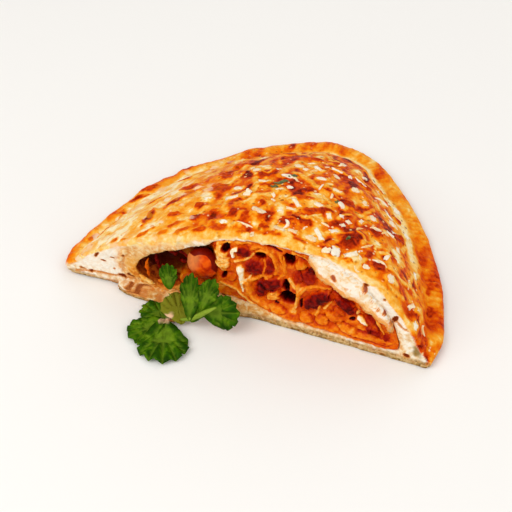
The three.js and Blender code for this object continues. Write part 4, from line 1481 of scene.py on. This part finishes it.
leafShape = {
    "thickness": 0.45 * mm,
    "midribWidth": 0.045,  # these are shares of a leaflet's length
    "veinWidth": 0.03,
    "veinDepth": 0.012,
    "swell": 0.05,
    "ruffle": 0.05,
    # Half the outline of a leaflet, from its stalk end to its tip, as shares of its length.
    "outline": [
        (0.0, 0.04), (0.1, 0.16), (0.25, 0.29), (0.38, 0.38), (0.46, 0.47), (0.56, 0.5), (0.6, 0.455),
        (0.66, 0.49), (0.78, 0.44), (0.8, 0.36), (0.86, 0.36), (0.93, 0.26), (0.92, 0.16), (0.97, 0.1),
        (1.0, 0.0),
    ],
    # Leaf planes as in the part: start, heading, rise and roll. Each leaflet on one has the place of
    # its stalk end, its heading in the plane, its length, its fullness and how much it curls.
    "planes": [
        {
            "base": (-24, -10.5, 1.6), "heading": 226, "rise": 0, "roll": 0,
            "leaflets": [
                [(11, -4), -96, 19, 1.05, 0.3], [(10, -6), 3, 21, 0.84, 0.3],
                [(10.5, -6), 63, 27, 0.95, 0.35],
            ],
        },
        {
            "base": (-21, -12.5, 4.2), "heading": 28, "rise": 43, "roll": 53,
            "leaflets": [
                [(0, 2), 46, 25, 0.44, 0.5], [(9, 3), 25, 18, 0.55, 0.5], [(8, 2), -38, 20, 0.92, 0.4],
                [(0, 1), 14, 12, 0.55, 0.3],
            ],
        },
        {
            "base": (-36, -5, 12), "heading": 100, "rise": 75, "roll": 0,
            "leaflets": [[(4, -0.5), 6, 15, 0.62, 0.5]],
        },
        {
            "base": (-26.5, -13, 2.0), "heading": 126, "rise": 30, "roll": 0, "olive": 1,
            "leaflets": [[(0, 0), 0, 17, 1.05, 0.15]],
        },
    ],
    # Stalks: x, behind and height of their places, their two radii and shade.
    "stalks": [
        [[(-35, -14, 2.2), (-31, -12, 2.6), (-27, -11, 3.4)], 1.1, 1.1, 0.05],
        [
            [(-28, -11.2, 3.4), (-24, -11.5, 4.6), (-18, -11.5, 10), (-13, -11, 15), (-9, -10.2, 18)],
            1.5, 1.1, 0.6,
        ],
        [[(-32, -5, 5), (-35, -4.6, 9), (-36.5, -4.4, 13)], 0.5, 0.4, 0.5],
    ],
    "torn": [(-37, -15.5), (-33, -12.5)],  # a pale line in the plan where a leaflet is torn
    "stops": [(0.1, "#1c3c00"), (0.4, "#264c00"), (0.65, "#386000"), (0.95, "#5a7a0a")],
    "stalkStops": [
        (0.0, "#a05c24"), (0.2, "#98702c"), (0.45, "#7c9424"), (0.7, "#8ea634"), (1.0, "#a4b64a"),
    ],
}


def planPoint(x, behind, z):
    return Vector((x * mm, cutY + behind * mm, z * mm))


def planeMatrix(plane):
    matrix = Matrix.Translation(planPoint(*plane["base"]))
    for axis, angle in (("Z", plane["heading"]), ("Y", -plane["rise"]), ("X", plane["roll"])):
        matrix = matrix @ Matrix.Rotation(math.radians(angle), 4, axis)
    return matrix


# A leaflet with its stalk end at the origin: a disc is drawn out to the outline, and its veins are
# pressed in while the blade between them swells.
def makeLeaflet(length, fullness, curl, seed):
    shape = leafShape
    bpy.ops.object.select_all(action="DESELECT")
    bpy.ops.mesh.primitive_circle_add(vertices=96, radius=1, fill_type="TRIFAN", location=(0, 0, 0))
    leaflet = bpy.context.active_object
    bpy.ops.object.mode_set(mode="EDIT")
    bpy.ops.mesh.select_all(action="SELECT")
    bpy.ops.mesh.subdivide(number_cuts=4)
    bpy.ops.object.mode_set(mode="OBJECT")
    spread = random.Random(seed)
    points = readPoints(leaflet)
    reach = np.hypot(points[:, 0], points[:, 1])
    angle = np.arctan2(points[:, 1], points[:, 0])
    radius = np.zeros(len(points))
    tips = [(1.0, 0.0)]
    for side in (1, -1):
        vary = [1 + 0.12 * (spread.random() - 0.5) for _ in shape["outline"]]
        outline = [(u - 0.5, side * v * fullness * k) for (u, v), k in zip(shape["outline"], vary)]
        angles = [abs(math.atan2(v, u)) for u, v in outline][::-1]
        spans = [math.hypot(u, v) for u, v in outline][::-1]
        chosen = (angle * side) >= 0
        radius[chosen] = np.interp(np.abs(angle[chosen]), angles, spans)
        tips += [(outline[i][0] + 0.5, outline[i][1]) for i in (5, 8, 11)]
    u = 0.5 + reach * radius * np.cos(angle)
    v = reach * radius * np.sin(angle)
    vein = np.zeros(len(points))
    fromVein = np.full(len(points), 1.0)
    for tipU, tipV in tips:
        isMidrib = tipV == 0
        startU = 0.0 if isMidrib else 0.12 + 0.3 * (tipU - 0.4)
        side = np.array([tipU - startU, tipV])
        share = clamp01(((u - startU) * side[0] + v * side[1]) / np.hypot(*side) ** 2)
        distance = np.hypot(u - startU - share * side[0], v - share * side[1])
        width = shape["midribWidth" if isMidrib else "veinWidth"] * (1.15 - 0.7 * share)
        vein = np.maximum(vein, np.exp(-(distance / width) ** 2))
        fromVein = np.minimum(fromVein, distance)
    height = shape["swell"] * np.minimum(fromVein / 0.08, 1) - shape["veinDepth"] * vein
    height += shape["ruffle"] * curl * np.sin(angle * 5 + seed) * reach ** 2
    height -= 0.22 * curl * (u - 0.35) * np.abs(u - 0.35) + 0.35 * curl * v * v
    writePoints(leaflet, np.stack([u, v, height], 1) * length * mm)
    applyModifier(leaflet, "SOLIDIFY", thickness=shape["thickness"], offset=0)
    # The solidified leaf has the same vertices twice, one side after the other.
    count = len(leaflet.data.vertices)
    paint(leaflet, "vein", np.tile(vein, count // len(vein))[:count])
    return leaflet


def makeLeaves():
    made = []
    for plane in leafShape["planes"]:
        matrix = planeMatrix(plane)
        for place, heading, length, fullness, curl in plane["leaflets"]:
            leaflet = makeLeaflet(length, fullness, curl, len(made) + 1)
            local = Matrix.Translation((place[0] * mm, place[1] * mm, 0.4 * mm * len(made) % mm))
            turn = Matrix.Rotation(math.radians(heading), 4, "Z")
            leaflet.data.transform(matrix @ local @ turn)
            paintAll(leaflet, "olive", plane.get("olive", 0))
            made.append(leaflet)
    leaves = joinPieces(made, "parsley_leaves")
    points = readPoints(leaves)
    points[:, 2] = np.maximum(points[:, 2], 0.3 * mm)
    writePoints(leaves, points)
    distance, _ = lineField(points[:, 0], points[:, 1] - cutY, leafShape["torn"])
    bare = fall(distance + 0.5 * mm * noiseAt(points, 1.5 * mm), 1.0, 2.0)
    paint(leaves, "bare", bare * (points[:, 2] < 9 * mm))
    return leaves


def makeLeafLook():
    material, tree, shader, place = startMaterial("parsley_leaf")
    patches = mottled(tree, place, 5 * mm, 0.4)
    colour = ramp(tree, patches["Patches"], leafShape["stops"])
    colour = layOver(tree, colour, "vein", "#84a028", 0.5)
    colour = layOver(tree, colour, "olive", "#84801e", 0.85)
    colour = layOver(tree, colour, "bare", "#eec098")
    cells = addNode(tree, "ShaderNodeTexVoronoi", {"Vector": place, "Scale": 900.0})
    grain = calc(tree, "MULTIPLY_ADD", patches["Fine"], 0.8, cells.outputs["Distance"])
    rough = calc(tree, "MULTIPLY_ADD", patches["Fine"], 0.25, 0.4)
    return endMaterial(material, shader, colour, rough, grain, 0.15 * mm, 0.5, 0.04)


def makeStalks():
    tubes = [([planPoint(*place) for place in places], *rest) for places, *rest in leafShape["stalks"]]
    return drawTubes(tubes, "parsley_stalks", sides=3, rings=8)


finishPiece(makeLeaves(), makeLeafLook(), "parsley_leaf", "parsley_sprig")
parsleyStalk = makeCooked("parsley_stalk", leafShape["stalkStops"], 2.0 * mm, 0.24, 0.3)
finishPiece(makeStalks(), parsleyStalk, "parsley_leaf")


stageLook = {
    "floorSize": 3.0,
    "floorColour": "#f4f1ec",
    "roughness": 0.9,
    "skyStrength": 0.53,
    "lights": [
        {"name": "key", "place": (-0.55, -0.7, 0.9), "size": 0.9, "power": 7.7},
        {"name": "fill", "place": (0.8, -0.35, 0.7), "size": 1.1, "power": 3.6},
        {"name": "back", "place": (0.1, 0.9, 0.8), "size": 1.0, "power": 2.8},
    ],
}
cameraView = {
    "target": (-7.1 * mm, -25.6 * mm, 0),
    "distance": 623.9 * mm,
    "azimuth": 18.5,
    "elevation": 46.0,
    "lens": 82.27,
    "sensor": 36,
}


def makeStage():
    bpy.ops.mesh.primitive_plane_add(size=stageLook["floorSize"], location=(0, 0, 0))
    floor = bpy.context.active_object
    floor.name = "floor"
    material, _, shader, _ = startMaterial("floor_paper")
    shader.inputs["Base Color"].default_value = tone(stageLook["floorColour"])
    shader.inputs["Roughness"].default_value = stageLook["roughness"]
    floor.data.materials.append(material)
    print("floor laid")


# Turns a light or camera so that it looks along a direction.
def aim(thing, direction):
    thing.rotation_euler = direction.to_track_quat("-Z", "Y").to_euler()


def makeLights():
    for light in stageLook["lights"]:
        bpy.ops.object.light_add(type="AREA", location=light["place"])
        lamp = bpy.context.active_object
        lamp.name = light["name"]
        lamp.data.size = light["size"]
        lamp.data.energy = light["power"]
        aim(lamp, -Vector(light["place"]))
    world = bpy.data.worlds.new("studio")
    world.use_nodes = True
    sky = world.node_tree.nodes["Background"].inputs
    sky["Color"].default_value = (1, 1, 1, 1)
    sky["Strength"].default_value = stageLook["skyStrength"]
    bpy.context.scene.world = world
    print(len(stageLook["lights"]), "lights set")


def makeCamera():
    view = cameraView
    azimuth, elevation = math.radians(view["azimuth"]), math.radians(view["elevation"])
    level = math.cos(elevation)
    back = Vector((math.sin(azimuth) * level, -math.cos(azimuth) * level, math.sin(elevation)))
    bpy.ops.object.camera_add(location=Vector(view["target"]) + back * view["distance"])
    camera = bpy.context.active_object
    camera.name = "camera"
    aim(camera, -back)
    camera.data.lens = view["lens"]
    camera.data.sensor_width = view["sensor"]
    bpy.context.scene.camera = camera
    print("camera set")


makeStage()
makeLights()
makeCamera()
bpy.context.scene.view_settings.view_transform = "Standard"
